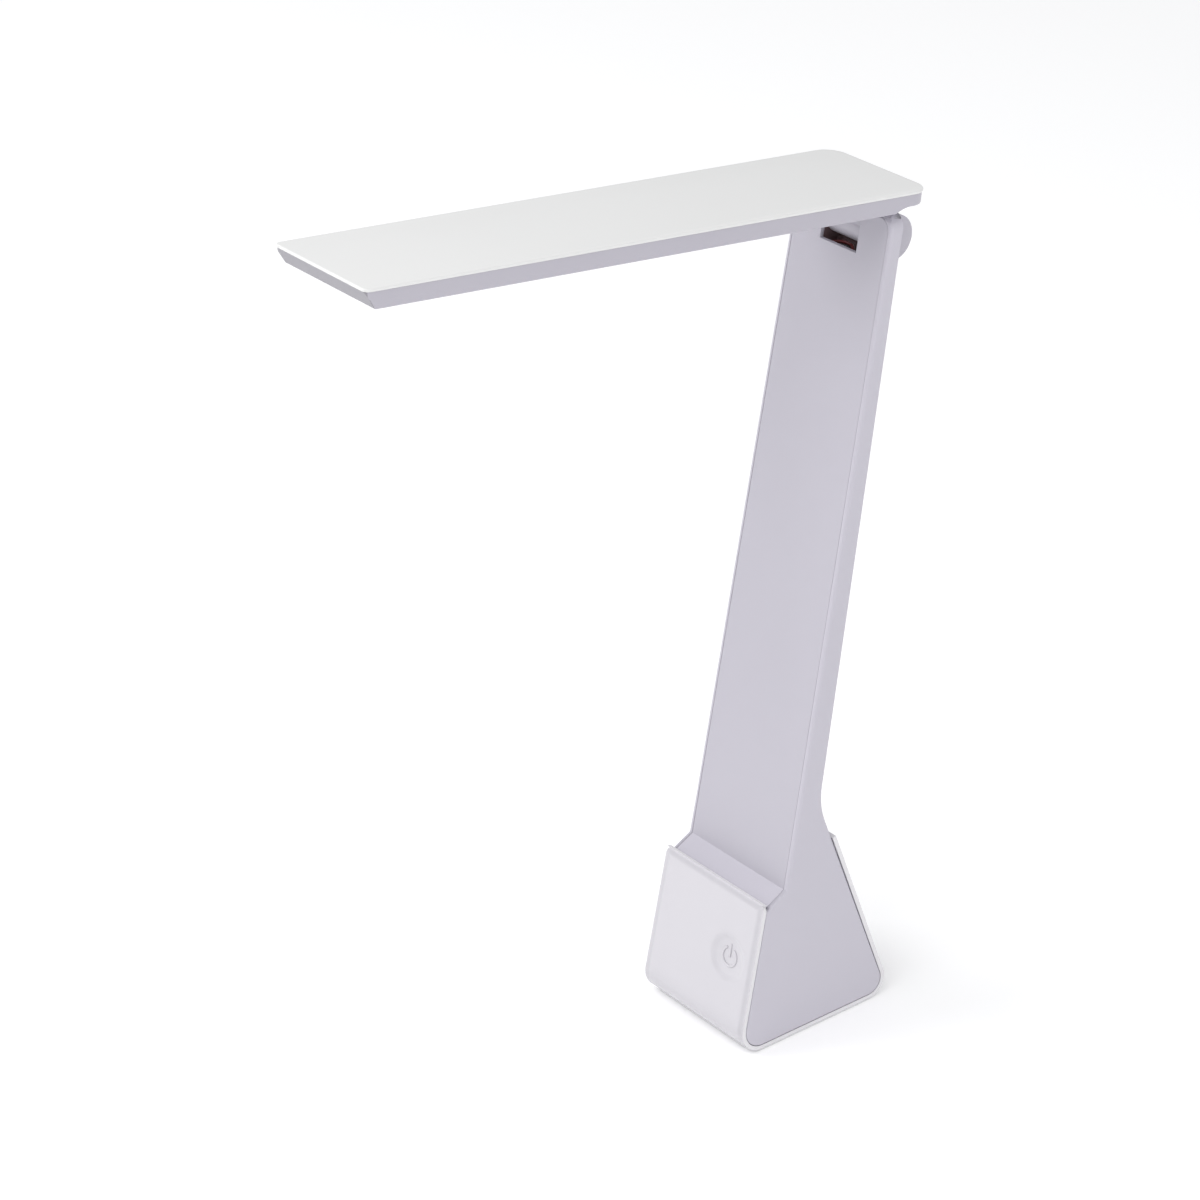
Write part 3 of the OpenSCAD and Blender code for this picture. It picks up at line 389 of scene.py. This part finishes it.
plasticLooks = {
    "lilacShell": {
        "light": (0.52, 0.501, 0.561), "deep": (0.51, 0.491, 0.551),
        "roughness": 0.40, "depth": 0.10,
    },
    # a darker copy of the shell's lilac for the arm's front panel: painted shade
    "lilacPanelShaded": {
        "light": (0.47, 0.453, 0.508), "deep": (0.458, 0.441, 0.496),
        "roughness": 0.38, "depth": 0.08,
    },
    # a lighter copy of the shell's lilac for the shoulder's slope: painted light
    "lilacSlopeLit": {
        "light": (0.525, 0.506, 0.567), "deep": (0.515, 0.496, 0.557),
        "roughness": 0.38, "depth": 0.08,
    },
    # a much darker copy of the shell's lilac for the head's tip face: painted shade
    "lilacTipShaded": {
        "light": (0.29, 0.28, 0.312), "deep": (0.28, 0.27, 0.302),
        "roughness": 0.38, "depth": 0.08,
    },
    # a darker copy of the shell's lilac for the head tray, the knuckle and the barrels' ends: painted shade
    "lilacTrayShaded": {
        "light": (0.46, 0.443, 0.497), "deep": (0.45, 0.433, 0.487),
        "roughness": 0.36, "depth": 0.08,
    },
    # the faint lilac tint in this white is painted light thrown from the lilac shell; its shade colour is
    # mixed in where the mesh marks painted shade
    "whiteCover": {
        "light": (0.59, 0.575, 0.61), "deep": (0.58, 0.565, 0.60),
        "roughness": 0.24, "depth": 0.03, "wave": 0.03, "coat": 0.25, "shade": (0.80, 0.80, 0.81),
    },
    # a lighter copy of the cover's white for its cut edges: painted highlight
    "coverEdgeHighlight": {"light": (0.72, 0.71, 0.73), "deep": (0.70, 0.69, 0.71), "roughness": 0.3, "depth": 0.03},
    # the shell's lilac painted dark reddish brown in the room behind the slot: painted shade
    "slotRoomPaintedShade": {"light": (0.16, 0.10, 0.106), "deep": (0.13, 0.08, 0.086), "roughness": 0.6},
    "whiteTop": {
        "light": (0.755, 0.755, 0.746), "deep": (0.745, 0.745, 0.736),
        "roughness": 0.34, "depth": 0.06, "coat": 0.1,
    },
    "padRubber": {
        "light": (0.035, 0.035, 0.038), "deep": (0.025, 0.025, 0.028),
        "roughness": 0.8, "grain": 900.0, "depth": 0.5,
    },
    "cellFilm": {"light": (0.20, 0.27, 0.40), "deep": (0.16, 0.23, 0.36), "roughness": 0.3, "wave": 0.3},
    "chassisNylon": {"light": (0.66, 0.66, 0.63), "deep": (0.6, 0.6, 0.57), "roughness": 0.55},
    "chipBlack": {"light": (0.02, 0.02, 0.022), "deep": (0.03, 0.03, 0.032), "roughness": 0.45},
    "leadRed": {"light": (0.13, 0.012, 0.012), "deep": (0.09, 0.01, 0.01), "roughness": 0.42, "depth": 0.1},
    "leadBlack": {
        "light": (0.012, 0.011, 0.012), "deep": (0.02, 0.018, 0.018),
        "roughness": 0.45, "depth": 0.1,
    },
    "leadWhite": {"light": (0.72, 0.72, 0.70), "deep": (0.66, 0.66, 0.64), "roughness": 0.45, "depth": 0.1},
    "washerNylon": {"light": (0.72, 0.70, 0.62), "deep": (0.66, 0.64, 0.56), "roughness": 0.5},
    "ledResin": {"light": (0.82, 0.70, 0.20), "deep": (0.80, 0.66, 0.16), "roughness": 0.3, "milky": 0.2},
    "sheetWhite": {"light": (0.86, 0.86, 0.86), "deep": (0.83, 0.83, 0.83), "roughness": 0.7},
    "opalWindow": {
        "light": (0.86, 0.86, 0.85), "deep": (0.84, 0.84, 0.835),
        "roughness": 0.45, "milky": 0.35, "grain": 1500.0, "depth": 0.12,
    },
}
metalLooks = {
    "screwSteel": {"light": (0.62, 0.62, 0.63), "deep": (0.45, 0.45, 0.46), "roughness": 0.32},
    "weightSteel": {
        "light": (0.30, 0.30, 0.31), "deep": (0.20, 0.20, 0.21),
        "roughness": 0.5, "stretch": (900.0, 900.0, 900.0),
    },
    "sensorCopper": {"light": (0.80, 0.52, 0.30), "deep": (0.70, 0.44, 0.24), "roughness": 0.35},
    "socketSteel": {
        "light": (0.66, 0.66, 0.67), "deep": (0.5, 0.5, 0.52),
        "roughness": 0.28, "stretch": (3500.0, 60.0, 3500.0),
    },
}
circuitLooks = {
    "boardGreen": {
        "light": (0.02, 0.10, 0.04), "deep": (0.03, 0.16, 0.06),
        "roughness": 0.4, "traces": 420.0,
    },
    "boardWhite": {
        "light": (0.78, 0.78, 0.75), "deep": (0.7, 0.7, 0.66),
        "roughness": 0.45, "traces": 500.0,
    },
}
materials = {name: plastic(name, look) for name, look in plasticLooks.items()}
materials.update({name: metal(name, look) for name, look in metalLooks.items()})
materials.update({name: circuit(name, look) for name, look in circuitLooks.items()})
materials["clearGuide"] = clearAcrylic("clearGuide", {"light": (0.93, 0.96, 0.97), "roughness": 0.08})

nodeFinish = {
    "base_cover": "whiteCover", "non_slip_pad": "padRubber", "base_screws": "screwSteel",
    "counterweight": "weightSteel", "battery_cell": "cellFilm", "chassis": "chassisNylon",
    "chassis_screws": "screwSteel", "main_board": "boardGreen", "board_parts": "chipBlack",
    "charging_socket": "socketSteel", "touch_sensor": "sensorCopper", "touch_lead": "leadWhite",
    "stand_shell": "lilacShell", "arm_front_panel": "lilacPanelShaded", "arm_lead_red": "leadRed",
    "arm_lead_black": "leadBlack", "wire_bush": "washerNylon",
    "friction_washer": "washerNylon", "hinge_pin": "screwSteel", "spring_washers": "screwSteel",
    "hinge_nut": "screwSteel", "hinge_knuckle": "lilacTrayShaded", "knuckle_screws": "screwSteel",
    "head_tray": "lilacTrayShaded", "head_top_plate": "whiteTop", "led_strip_left": "boardWhite",
    "led_strip_right": "boardWhite", "leds": "ledResin", "led_link_board": "boardWhite",
    "light_guide": "clearGuide", "reflector_sheet": "sheetWhite", "diffuser": "opalWindow",
    "head_lead_red": "leadRed", "head_lead_black": "leadBlack",
}
for nodeName, finish in nodeFinish.items():
    nodes[nodeName].data.materials.clear()
    nodes[nodeName].data.materials.append(materials[finish])
print("materials made:", len(materials))


def halfWidthAt(height):
    return lamp["halfWidth"] - (height - lamp["seat"]) * lamp["draft"]


def finishPiece(name, form, finish, body, slot, stands=(), smoothAngle=32):
    mesh = bpy.data.meshes.new(name)
    form.to_mesh(mesh)
    form.free()
    mesh.shade_smooth()
    mesh.set_sharp_from_angle(angle=math.radians(smoothAngle))
    mesh.materials.append(materials[finish])
    piece = bpy.data.objects.new(name, mesh)
    bpy.context.scene.collection.objects.link(piece)
    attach(piece, body)
    if stands:
        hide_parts(*stands)
    return piece


def addSoftEdges(piece, width, segments=3, angle=35, byWeight=False):
    rounding = piece.modifiers.new("softEdges", "BEVEL")
    rounding.width = width
    rounding.segments = segments
    rounding.limit_method = "WEIGHT" if byWeight else "ANGLE"
    rounding.angle_limit = math.radians(angle)
    rounding.use_clamp_overlap = not byWeight
    rounding.harden_normals = False
    shading = piece.modifiers.new("evenShading", "WEIGHTED_NORMAL")
    shading.keep_sharp = True
    return piece


def mergedCopy(nodeName, gap=3e-6, flat=0.6):
    form = bmesh.new()
    form.from_mesh(nodes[nodeName].data)
    bmesh.ops.remove_doubles(form, verts=form.verts, dist=gap)
    bmesh.ops.dissolve_limit(form, angle_limit=math.radians(flat), verts=form.verts, edges=form.edges)
    return form


def cutFaces(form, faces, spot, way):
    around = dict.fromkeys(part for face in faces for part in [*face.edges, *face.verts])
    bmesh.ops.bisect_plane(form, geom=faces + list(around), plane_co=spot, plane_no=way, dist=1e-6)


def splitLong(form, stations, longest=60 * mm):
    # a long straight edge gets points at these heights, so its rounding can fade out between them
    for height in stations:
        for edge in form.edges[:]:
            low, high = sorted((vert.co.z for vert in edge.verts))
            if low < height < high and edge.calc_length() > longest and edge.calc_face_angle(0) > 1:
                share = (height - edge.verts[0].co.z) / (edge.verts[1].co.z - edge.verts[0].co.z)
                bmesh.utils.edge_split(edge, edge.verts[0], share)


def markEdges(form, rule, sharp=30):
    weight = form.edges.layers.float.new("bevel_weight_edge")
    for edge in form.edges:
        if len(edge.link_faces) == 2 and edge.calc_face_angle_signed(0) > math.radians(sharp):
            edge[weight] = rule(edge, (edge.verts[0].co + edge.verts[1].co) / 2)


# White cover round the base: a sheet run down the front, under the foot and up the back
coverLook = {
    "frontTop": 65 * mm,
    "backTop": 83 * mm,
    "frontArc": 10.4 * mm,
    "backArc": 8 * mm,
    "wall": 1.75 * mm,
    "rowsFront": 130,
    "rowsUnder": 24,
    "rowsBack": 40,
    "stepsFront": 16,
    "stepsBack": 14,
    "columns": 140,
    "bandWide": 3.4 * mm,
    "bandRise": 0.55 * mm,
    "bandShade": 0.55,
    "bandFoot": 2 * mm,  # the band fades out above this height
    "bandFade": 12 * mm,
    "cornerRound": 3.0 * mm,
    "dishX": 15 * mm,
    "dishZ": 37 * mm,
    "dishRadius": 8.6 * mm,
    "dishDepth": 1.0 * mm,
    "dishLip": 1.6 * mm,
    "dishDome": 0.35,  # how much shallower the bowl gets at its rim
    "edgeRound": 0.45 * mm,
    "dishShade": 0.22,
    "dishFade": 10 * mm,  # from the shaded upper left to the plain lower right
    "bowlShade": 0.8,  # of the wall's
    "footShade": 0.8,
    "footHeight": 17 * mm,
    "inletHalf": 4.9 * mm,
    "inletLow": 27.45 * mm,
    "inletHigh": 31.45 * mm,
    "inletRoom": {"back": 20 * mm, "low": 20 * mm, "high": 40 * mm, "half": 9 * mm},
}


def smoothStep(value):
    value = min(max(value, 0.0), 1.0)
    return value * value * (3 - 2 * value)


def dishSink(look, distance):
    # shallow bowl with a soft lip
    inner = 1 - smoothStep((distance - (look["dishRadius"] - look["dishLip"])) / (2 * look["dishLip"]))
    bowl = 1 - look["dishDome"] * min(distance / look["dishRadius"], 1.0) ** 2
    return look["dishDepth"] * inner * bowl


# Raised standby sign in the dish: an open ring with a bar
signLook = {
    "ring": 3.9 * mm,
    "line": 0.48 * mm,
    "gap": math.radians(68),
    "barTop": 5.0 * mm,
    "barFoot": 0.2 * mm,
    "flat": 0.85,
    "x": 15.2 * mm,
    "z": 37.4 * mm,
    "lift": -0.80 * mm,
    "shade": 0.6,  # of the soft line of shade where it meets the dish
    "shadeWide": 0.75 * mm,
}


def signShade(across, height):
    spot = Vector((across - signLook["x"], (height - signLook["z"]) / math.cos(lamp["frontLean"])))
    toRing = abs(spot.length - signLook["ring"])
    if abs(math.atan2(spot.x, spot.y)) < signLook["gap"] / 2:
        toRing = 1.0
    beside = Vector((spot.x, spot.y - min(max(spot.y, signLook["barFoot"]), signLook["barTop"])))
    return signLook["shade"] * (1 - smoothStep(min(toRing, beside.length) / signLook["shadeWide"]))


def cutInlet(form, look):
    # the way in for the charging plug, through the back plate
    room = look["inletRoom"]

    def backFaces():
        spots = [(face, face.calc_center_median()) for face in form.faces]
        return [
            face for face, spot in spots
            if spot.y > room["back"] and room["low"] < spot.z < room["high"] and abs(spot.x) < room["half"]
        ]

    cuts = [((side * look["inletHalf"], 0, 0), (1, 0, 0)) for side in (-1, 1)]
    cuts += [((0, 0, height), (0, 0, 1)) for height in (look["inletLow"], look["inletHigh"])]
    for spot, way in cuts:
        cutFaces(form, backFaces(), spot, way)
    inside = [
        face for face in backFaces()
        if abs(face.calc_center_median().x) < look["inletHalf"]
        and look["inletLow"] < face.calc_center_median().z < look["inletHigh"]
    ]
    bmesh.ops.delete(form, geom=inside, context="FACES")


def vertsOf(geom):
    return [item for item in geom if isinstance(item, bmesh.types.BMVert)]


def buildCover(look):
    front, back = lamp["frontLean"], lamp["backLean"]
    frontArcY = lamp["footFront"] + look["frontArc"] * (1 + math.sin(front)) / math.cos(front)
    backArcY = lamp["footBack"] - look["backArc"] * (1 + math.sin(back)) / math.cos(back)
    form = bmesh.new()

    def addRun(start, end, cuts):
        first = form.verts.new(start) if isinstance(start, tuple) else start
        last = form.verts.new(end)
        run = form.edges.new((first, last))
        bmesh.ops.subdivide_edges(form, edges=[run], cuts=cuts)
        return min(form.verts, key=lambda vert: (vert.co - Vector(end)).length)

    def addArc(start, centre, angle, steps):
        turned = bmesh.ops.spin(
            form, geom=[start], cent=centre, axis=(1, 0, 0), angle=angle, steps=steps, use_duplicate=False,
        )
        return vertsOf(turned["geom_last"])[0]

    top = (-1, lamp["footFront"] + look["frontTop"] * math.tan(front), look["frontTop"])
    arcTop = (-1, frontArcY - look["frontArc"] * math.cos(front), look["frontArc"] * (1 + math.sin(front)))
    corner = addRun(top, arcTop, look["rowsFront"])
    corner = addArc(corner, (-1, frontArcY, look["frontArc"]), math.pi / 2 + front, look["stepsFront"])
    corner = addRun(corner, (-1, backArcY, 0), look["rowsUnder"])
    corner = addArc(corner, (-1, backArcY, look["backArc"]), math.pi / 2 + back, look["stepsBack"])
    backTop = (-1, lamp["footBack"] - look["backTop"] * math.tan(back), look["backTop"])
    addRun(corner, backTop, look["rowsBack"])

    swept = bmesh.ops.extrude_edge_only(form, edges=form.edges[:])
    bmesh.ops.translate(form, verts=vertsOf(swept["geom"]), vec=(2, 0, 0))
    across = [edge for edge in form.edges if abs(edge.verts[0].co.x - edge.verts[1].co.x) > 1]
    bmesh.ops.subdivide_edges(form, edges=across, cuts=look["columns"], use_grid_fill=True)
    bmesh.ops.recalc_face_normals(form, faces=form.faces)
    if min(form.faces, key=lambda face: face.calc_center_median().y).normal.y > 0:
        bmesh.ops.reverse_faces(form, faces=form.faces)

    outward = Vector((0, -math.cos(front), math.sin(front)))
    # painted shade, kept in a vertex layer: a grey band along the top and side edges, a darker upper left
    # dish wall and bowl, a soft line of shade round the sign and a darker bottom rounding
    hollow = form.verts.layers.float.new("hollow")
    for vert in form.verts:
        share, height = vert.co.x, vert.co.z
        half = lamp["halfWidth"] - height * lamp["draft"]
        onFront = vert.co.y < frontArcY
        fromTop = (look["frontTop"] - height) / math.cos(front)
        if onFront and fromTop < look["cornerRound"]:
            dip = look["cornerRound"] - fromTop
            half -= look["cornerRound"] - math.sqrt(max(look["cornerRound"] ** 2 - dip * dip, 0))
        vert.co.x = share * half
        if onFront:
            fromSide = lamp["halfWidth"] - height * lamp["draft"] - abs(vert.co.x)
            fade = smoothStep((height - look["bandFoot"]) / look["bandFade"])
            rise = look["bandRise"] * smoothStep(min(fromTop, fromSide) / look["bandWide"]) * fade
            spot = math.hypot(vert.co.x - look["dishX"], (height - look["dishZ"]) / math.cos(front))
            vert.co += outward * (rise - dishSink(look, spot))
            across = min(max(min(fromTop, fromSide) / look["bandWide"], 0), 1)
            band = look["bandShade"] * smoothStep(across * 3) * smoothStep((1 - across) * 2.2) * fade
            wall = max(1 - abs(spot - look["dishRadius"]) / (2 * look["dishLip"]), 0)
            upward = height - look["dishZ"] - (vert.co.x - look["dishX"])
            upper = smoothStep(0.5 + upward / look["dishFade"])
            inner = smoothStep((look["dishRadius"] - spot) / look["dishLip"])
            bowl = max(smoothStep(wall), look["bowlShade"] * inner)
            foot = look["footShade"] * smoothStep(1 - height / look["footHeight"])
            vert[hollow] = band + look["dishShade"] * bowl * upper + signShade(vert.co.x, height) + foot
    cutInlet(form, look)
    bmesh.ops.translate(form, verts=form.verts, vec=(0, 0, lamp["seat"]))

    piece = finishPiece("baseCover", form, "whiteCover", "stand", "white_gloss", ["base_cover"], 40)
    wall = piece.modifiers.new("wall", "SOLIDIFY")
    wall.thickness = look["wall"]
    wall.offset = -1
    wall.use_even_offset = True
    # the wall's rim takes the lighter copy: painted highlight on the cut edges
    piece.data.materials.append(materials["coverEdgeHighlight"])
    wall.material_offset_rim = 1
    addSoftEdges(piece, look["edgeRound"], 3, 50)
    return piece


buildCover(coverLook)
print("cover built")

# Thin white plate on the head
topPlateLook = {
    "length": 251.3 * mm,
    "tipHalf": 26.15 * mm,
    "endHalf": 27.25 * mm,
    "tipRound": 2.5 * mm,
    "endRound": 8.0 * mm,
    "thick": 1.25 * mm,
    "edgeRound": 0.45 * mm,
    "cornerSegments": 14,
}


def buildTopPlate(look):
    form = bmesh.new()
    tip = [form.verts.new((side * look["tipHalf"], 0, 0)) for side in (-1, 1)]
    end = [form.verts.new((side * look["endHalf"], look["length"], 0)) for side in (1, -1)]
    form.faces.new(tip + end)
    for corners, radius in ((tip, look["tipRound"]), (end, look["endRound"])):
        bmesh.ops.bevel(
            form, geom=corners, offset=radius, segments=look["cornerSegments"], profile=0.5,
            affect="VERTICES", material=-1,
        )
    face = max(form.faces, key=lambda face: face.calc_area())
    down = bmesh.ops.extrude_face_region(form, geom=[face])
    bmesh.ops.translate(form, verts=vertsOf(down["geom"]), vec=(0, 0, -look["thick"]))
    bmesh.ops.recalc_face_normals(form, faces=form.faces)
    rim = [
        edge for edge in form.edges
        if len(edge.link_faces) == 2 and edge.calc_face_angle(0) > 0.9
        and abs(edge.verts[0].co.z - edge.verts[1].co.z) < 1e-7
    ]
    bmesh.ops.bevel(
        form, geom=rim, offset=look["edgeRound"], segments=4, profile=0.5, affect="EDGES", material=-1,
    )
    bmesh.ops.transform(form, matrix=headFrame, verts=form.verts)
    return finishPiece("headTopPlate", form, "whiteTop", "head", "head_white", ["head_top_plate"], 40)


buildTopPlate(topPlateLook)

# Tray under the plate: the CAD form with its lower edges rounded and its tip face in painted shade, a darker
# copy of the lilac
trayLook = {
    "round": 0.6 * mm,
    "deepest": -5.6 * mm,
    "sideHalf": 25.0 * mm,
    "tipReach": 7 * mm,
    "lip": 241.5 * mm,
}


def buildTray(look):
    form = mergedCopy("head_tray")
    toHead = headFrame.inverted()

    def rule(edge, middle):
        spot = toHead @ middle
        outer = abs(spot.x) > look["sideHalf"] or spot.y < look["tipReach"] or spot.y > look["lip"]
        return 1.0 if outer and spot.z < look["deepest"] else 0.0

    markEdges(form, rule)
    along = headFrame.to_3x3() @ Vector((0, 1, 0))
    # tip faces take the darker copy: painted shade
    for face in form.faces:
        if face.normal.dot(along) < -0.5 and (toHead @ face.calc_center_median()).y < look["tipReach"]:
            face.material_index = 1
    piece = finishPiece("headTray", form, "lilacTrayShaded", "head", "lilac", ["head_tray"])
    piece.data.materials.append(materials["lilacTipShaded"])
    return addSoftEdges(piece, look["round"], 4, byWeight=True)


buildTray(trayLook)

# Lilac shell: the CAD form with the arm's long edges rounded, some faces in painted shade (the room behind
# the slot, the barrels' ends) and the shoulder's slope in a painted lighter tone
shellLook = {
    "round": 1.3 * mm,  # along the arm's front
    "backShare": 0.5,
    "heelShare": 1.0,  # the back edges swell to this at the cover
    "fine": 0.3,
    "barrelEnd": 19.7 * mm,
    "coverTop": 84 * mm,
    "heelTop": 112 * mm,
    "backEnd": 312 * mm,
    "shoulder": 60 * mm,
    "armLow": 90 * mm,
    "backTop": 326 * mm,
    "rim": 3.6 * mm,  # edges farther in than this stay as they are
    "roomHalf": 9.9 * mm,
    "roomLow": 14 * mm,  # under the axis, as the next one
    "roomHigh": -1.5 * mm,
    "roomOver": 280 * mm,
    "roomMiddle": (-3 * mm, -6 * mm),  # from the axis
    "slopeUp": 0.7,  # the slope's faces point up at least this much
}


def isSlope(face):
    return face.normal.z > shellLook["slopeUp"] and face.calc_center_median().z < shellLook["armLow"]


def markTones(form, look):
    # second material, painted shade, in the room behind the slot; third, a darker copy in painted shade, on
    # the barrels' ends; fourth, a lighter copy in painted light, on the shoulder's slope
    low, high = lamp["axisZ"] - look["roomLow"], lamp["axisZ"] - look["roomHigh"]
    middle = Vector((0, lamp["axisY"] + look["roomMiddle"][0], lamp["axisZ"] + look["roomMiddle"][1]))
    spots = [(face, face.calc_center_median()) for face in form.faces]
    near = [face for face, spot in spots if abs(spot.x) < look["roomHalf"] and spot.z > look["roomOver"]]
    cutFaces(form, near, (0, 0, high), (0, 0, 1))
    for face in form.faces:
        spot = face.calc_center_median()
        if abs(spot.x) < look["roomHalf"] and low < spot.z < high and face.normal.dot(middle - spot) > 0:
            face.material_index = 1
        elif abs(abs(spot.x) - look["barrelEnd"]) < 0.1 * mm and abs(face.normal.x) > 0.99:
            face.material_index = 2
        elif isSlope(face):
            face.material_index = 3


def buildShell(look):
    form = mergedCopy("stand_shell")
    splitLong(form, [look["coverTop"], look["heelTop"], look["backEnd"], look["backTop"]])

    def rule(edge, middle):
        across = math.copysign(1, middle.x)
        side = max(face.normal.x * across for face in edge.link_faces)
        back = max(face.normal.y for face in edge.link_faces)
        if middle.z > look["armLow"] and min(face.normal.y for face in edge.link_faces) < -0.9:
            # the front edge, up and over the top
            other = max(edge.link_faces, key=lambda face: face.normal.y)
            return 1.0 if other.normal.x * across > 0.25 or other.normal.z > 0.25 else 0.0
        if side < 0.6 or abs(middle.x) < halfWidthAt(middle.z) - look["rim"] or middle.z > look["backTop"]:
            return 0.0
        if back > 0.4:
            if middle.z < look["coverTop"] or middle.z > look["backEnd"]:
                return look["fine"]
            swell = smoothStep((look["heelTop"] - middle.z) / (look["heelTop"] - look["coverTop"]))
            return look["backShare"] + (look["heelShare"] - look["backShare"]) * swell
        if middle.z > look["shoulder"]:
            return 1.0
        return look["fine"]

    markEdges(form, rule)
    markTones(form, look)
    piece = finishPiece("standShell", form, "lilacShell", "stand", "lilac", ["stand_shell"])
    piece.data.materials.append(materials["slotRoomPaintedShade"])
    piece.data.materials.append(materials["lilacTrayShaded"])
    piece.data.materials.append(materials["lilacSlopeLit"])
    return addSoftEdges(piece, look["round"], 4, byWeight=True)


buildShell(shellLook)


def buildSoftened(nodeName, look):
    form = mergedCopy(nodeName)
    # faces on the shoulder's slope take a lighter copy of the lilac: painted light
    for face in form.faces:
        if "slope" in look and isSlope(face):
            face.material_index = 1
    piece = finishPiece(look["name"], form, nodeFinish[nodeName], look["body"], look["slot"], [nodeName])
    if "slope" in look:
        piece.data.materials.append(materials[look["slope"]])
    return addSoftEdges(piece, look["round"], 3, 40)


softened = {
    "arm_front_panel": {
        "name": "armFrontPanel", "body": "stand", "slot": "lilac", "round": 0.35 * mm, "slope": "lilacSlopeLit",
    },
    "hinge_knuckle": {"name": "hingeKnuckle", "body": "head", "slot": "lilac", "round": 0.3 * mm},
    "non_slip_pad": {"name": "nonSlipPad", "body": "stand", "slot": "soft_rubber", "round": 0.3 * mm},
    "diffuser": {"name": "lightWindow", "body": "head", "slot": "opal", "round": 0.2 * mm},
}
for nodeName, look in softened.items():
    buildSoftened(nodeName, look)


def buildLead(nodeName, name, body, slot):
    form = mergedCopy(nodeName, flat=0.01)
    piece = finishPiece(name, form, nodeFinish[nodeName], body, slot, [nodeName], 70)
    rounder = piece.modifiers.new("rounder", "SUBSURF")
    rounder.levels = rounder.render_levels = 1
    return piece


for body, part in (("stand", "arm"), ("head", "head")):
    for hue in ("Red", "Black"):
        buildLead(f"{part}_lead_{hue.lower()}", f"{part}Lead{hue}", body, f"lead_{hue.lower()}")
print("shells, panel, hinge and leads built")


def buildSign(look):
    form = bmesh.new()
    start = math.pi / 2 + look["gap"] / 2
    # the ring's section, spun round to leave the gap at the top
    section = bmesh.ops.create_circle(form, cap_ends=True, segments=12, radius=look["line"])["verts"]
    bmesh.ops.rotate(form, verts=section, cent=(0, 0, 0), matrix=Matrix.Rotation(math.pi / 2, 3, "X"))
    bmesh.ops.translate(form, verts=section, vec=(look["ring"], 0, 0))
    bmesh.ops.rotate(form, verts=section, cent=(0, 0, 0), matrix=Matrix.Rotation(start, 3, "Z"))
    bmesh.ops.spin(
        form, geom=form.verts[:] + form.edges[:] + form.faces[:], cent=(0, 0, 0), axis=(0, 0, 1),
        angle=2 * math.pi - look["gap"], steps=48, use_duplicate=False,
    )
    for angle in (start, start + 2 * math.pi - look["gap"]):
        end = bmesh.ops.create_icosphere(form, subdivisions=2, radius=look["line"])["verts"]
        way = Vector((math.cos(angle), math.sin(angle), 0))
        bmesh.ops.translate(form, verts=end, vec=look["ring"] * way)
    span = look["barTop"] - look["barFoot"]
    bar = bmesh.ops.create_cone(
        form, cap_ends=True, segments=12, radius1=look["line"], radius2=look["line"], depth=span,
    )["verts"]
    bmesh.ops.rotate(form, verts=bar, cent=(0, 0, 0), matrix=Matrix.Rotation(math.pi / 2, 3, "X"))
    bmesh.ops.translate(form, verts=bar, vec=(0, (look["barTop"] + look["barFoot"]) / 2, 0))
    for along in (look["barFoot"], look["barTop"]):
        end = bmesh.ops.create_icosphere(form, subdivisions=2, radius=look["line"])["verts"]
        bmesh.ops.translate(form, verts=end, vec=(0, along, 0))
    bmesh.ops.recalc_face_normals(form, faces=form.faces)
    bmesh.ops.scale(form, verts=form.verts, vec=(1, 1, look["flat"]))
    frontY = lamp["footFront"] + look["z"] * math.tan(lamp["frontLean"])
    plate = (
        Matrix.Translation((look["x"], frontY, look["z"] + lamp["seat"]))
        @ Matrix.Rotation(math.pi / 2 - lamp["frontLean"], 4, "X")
        @ Matrix.Translation((0, 0, coverLook["bandRise"] + look["lift"]))
    )
    bmesh.ops.transform(form, matrix=plate, verts=form.verts)
    return finishPiece("standbySign", form, "whiteCover", "stand", "white_gloss")


buildSign(signLook)
print("sign built")
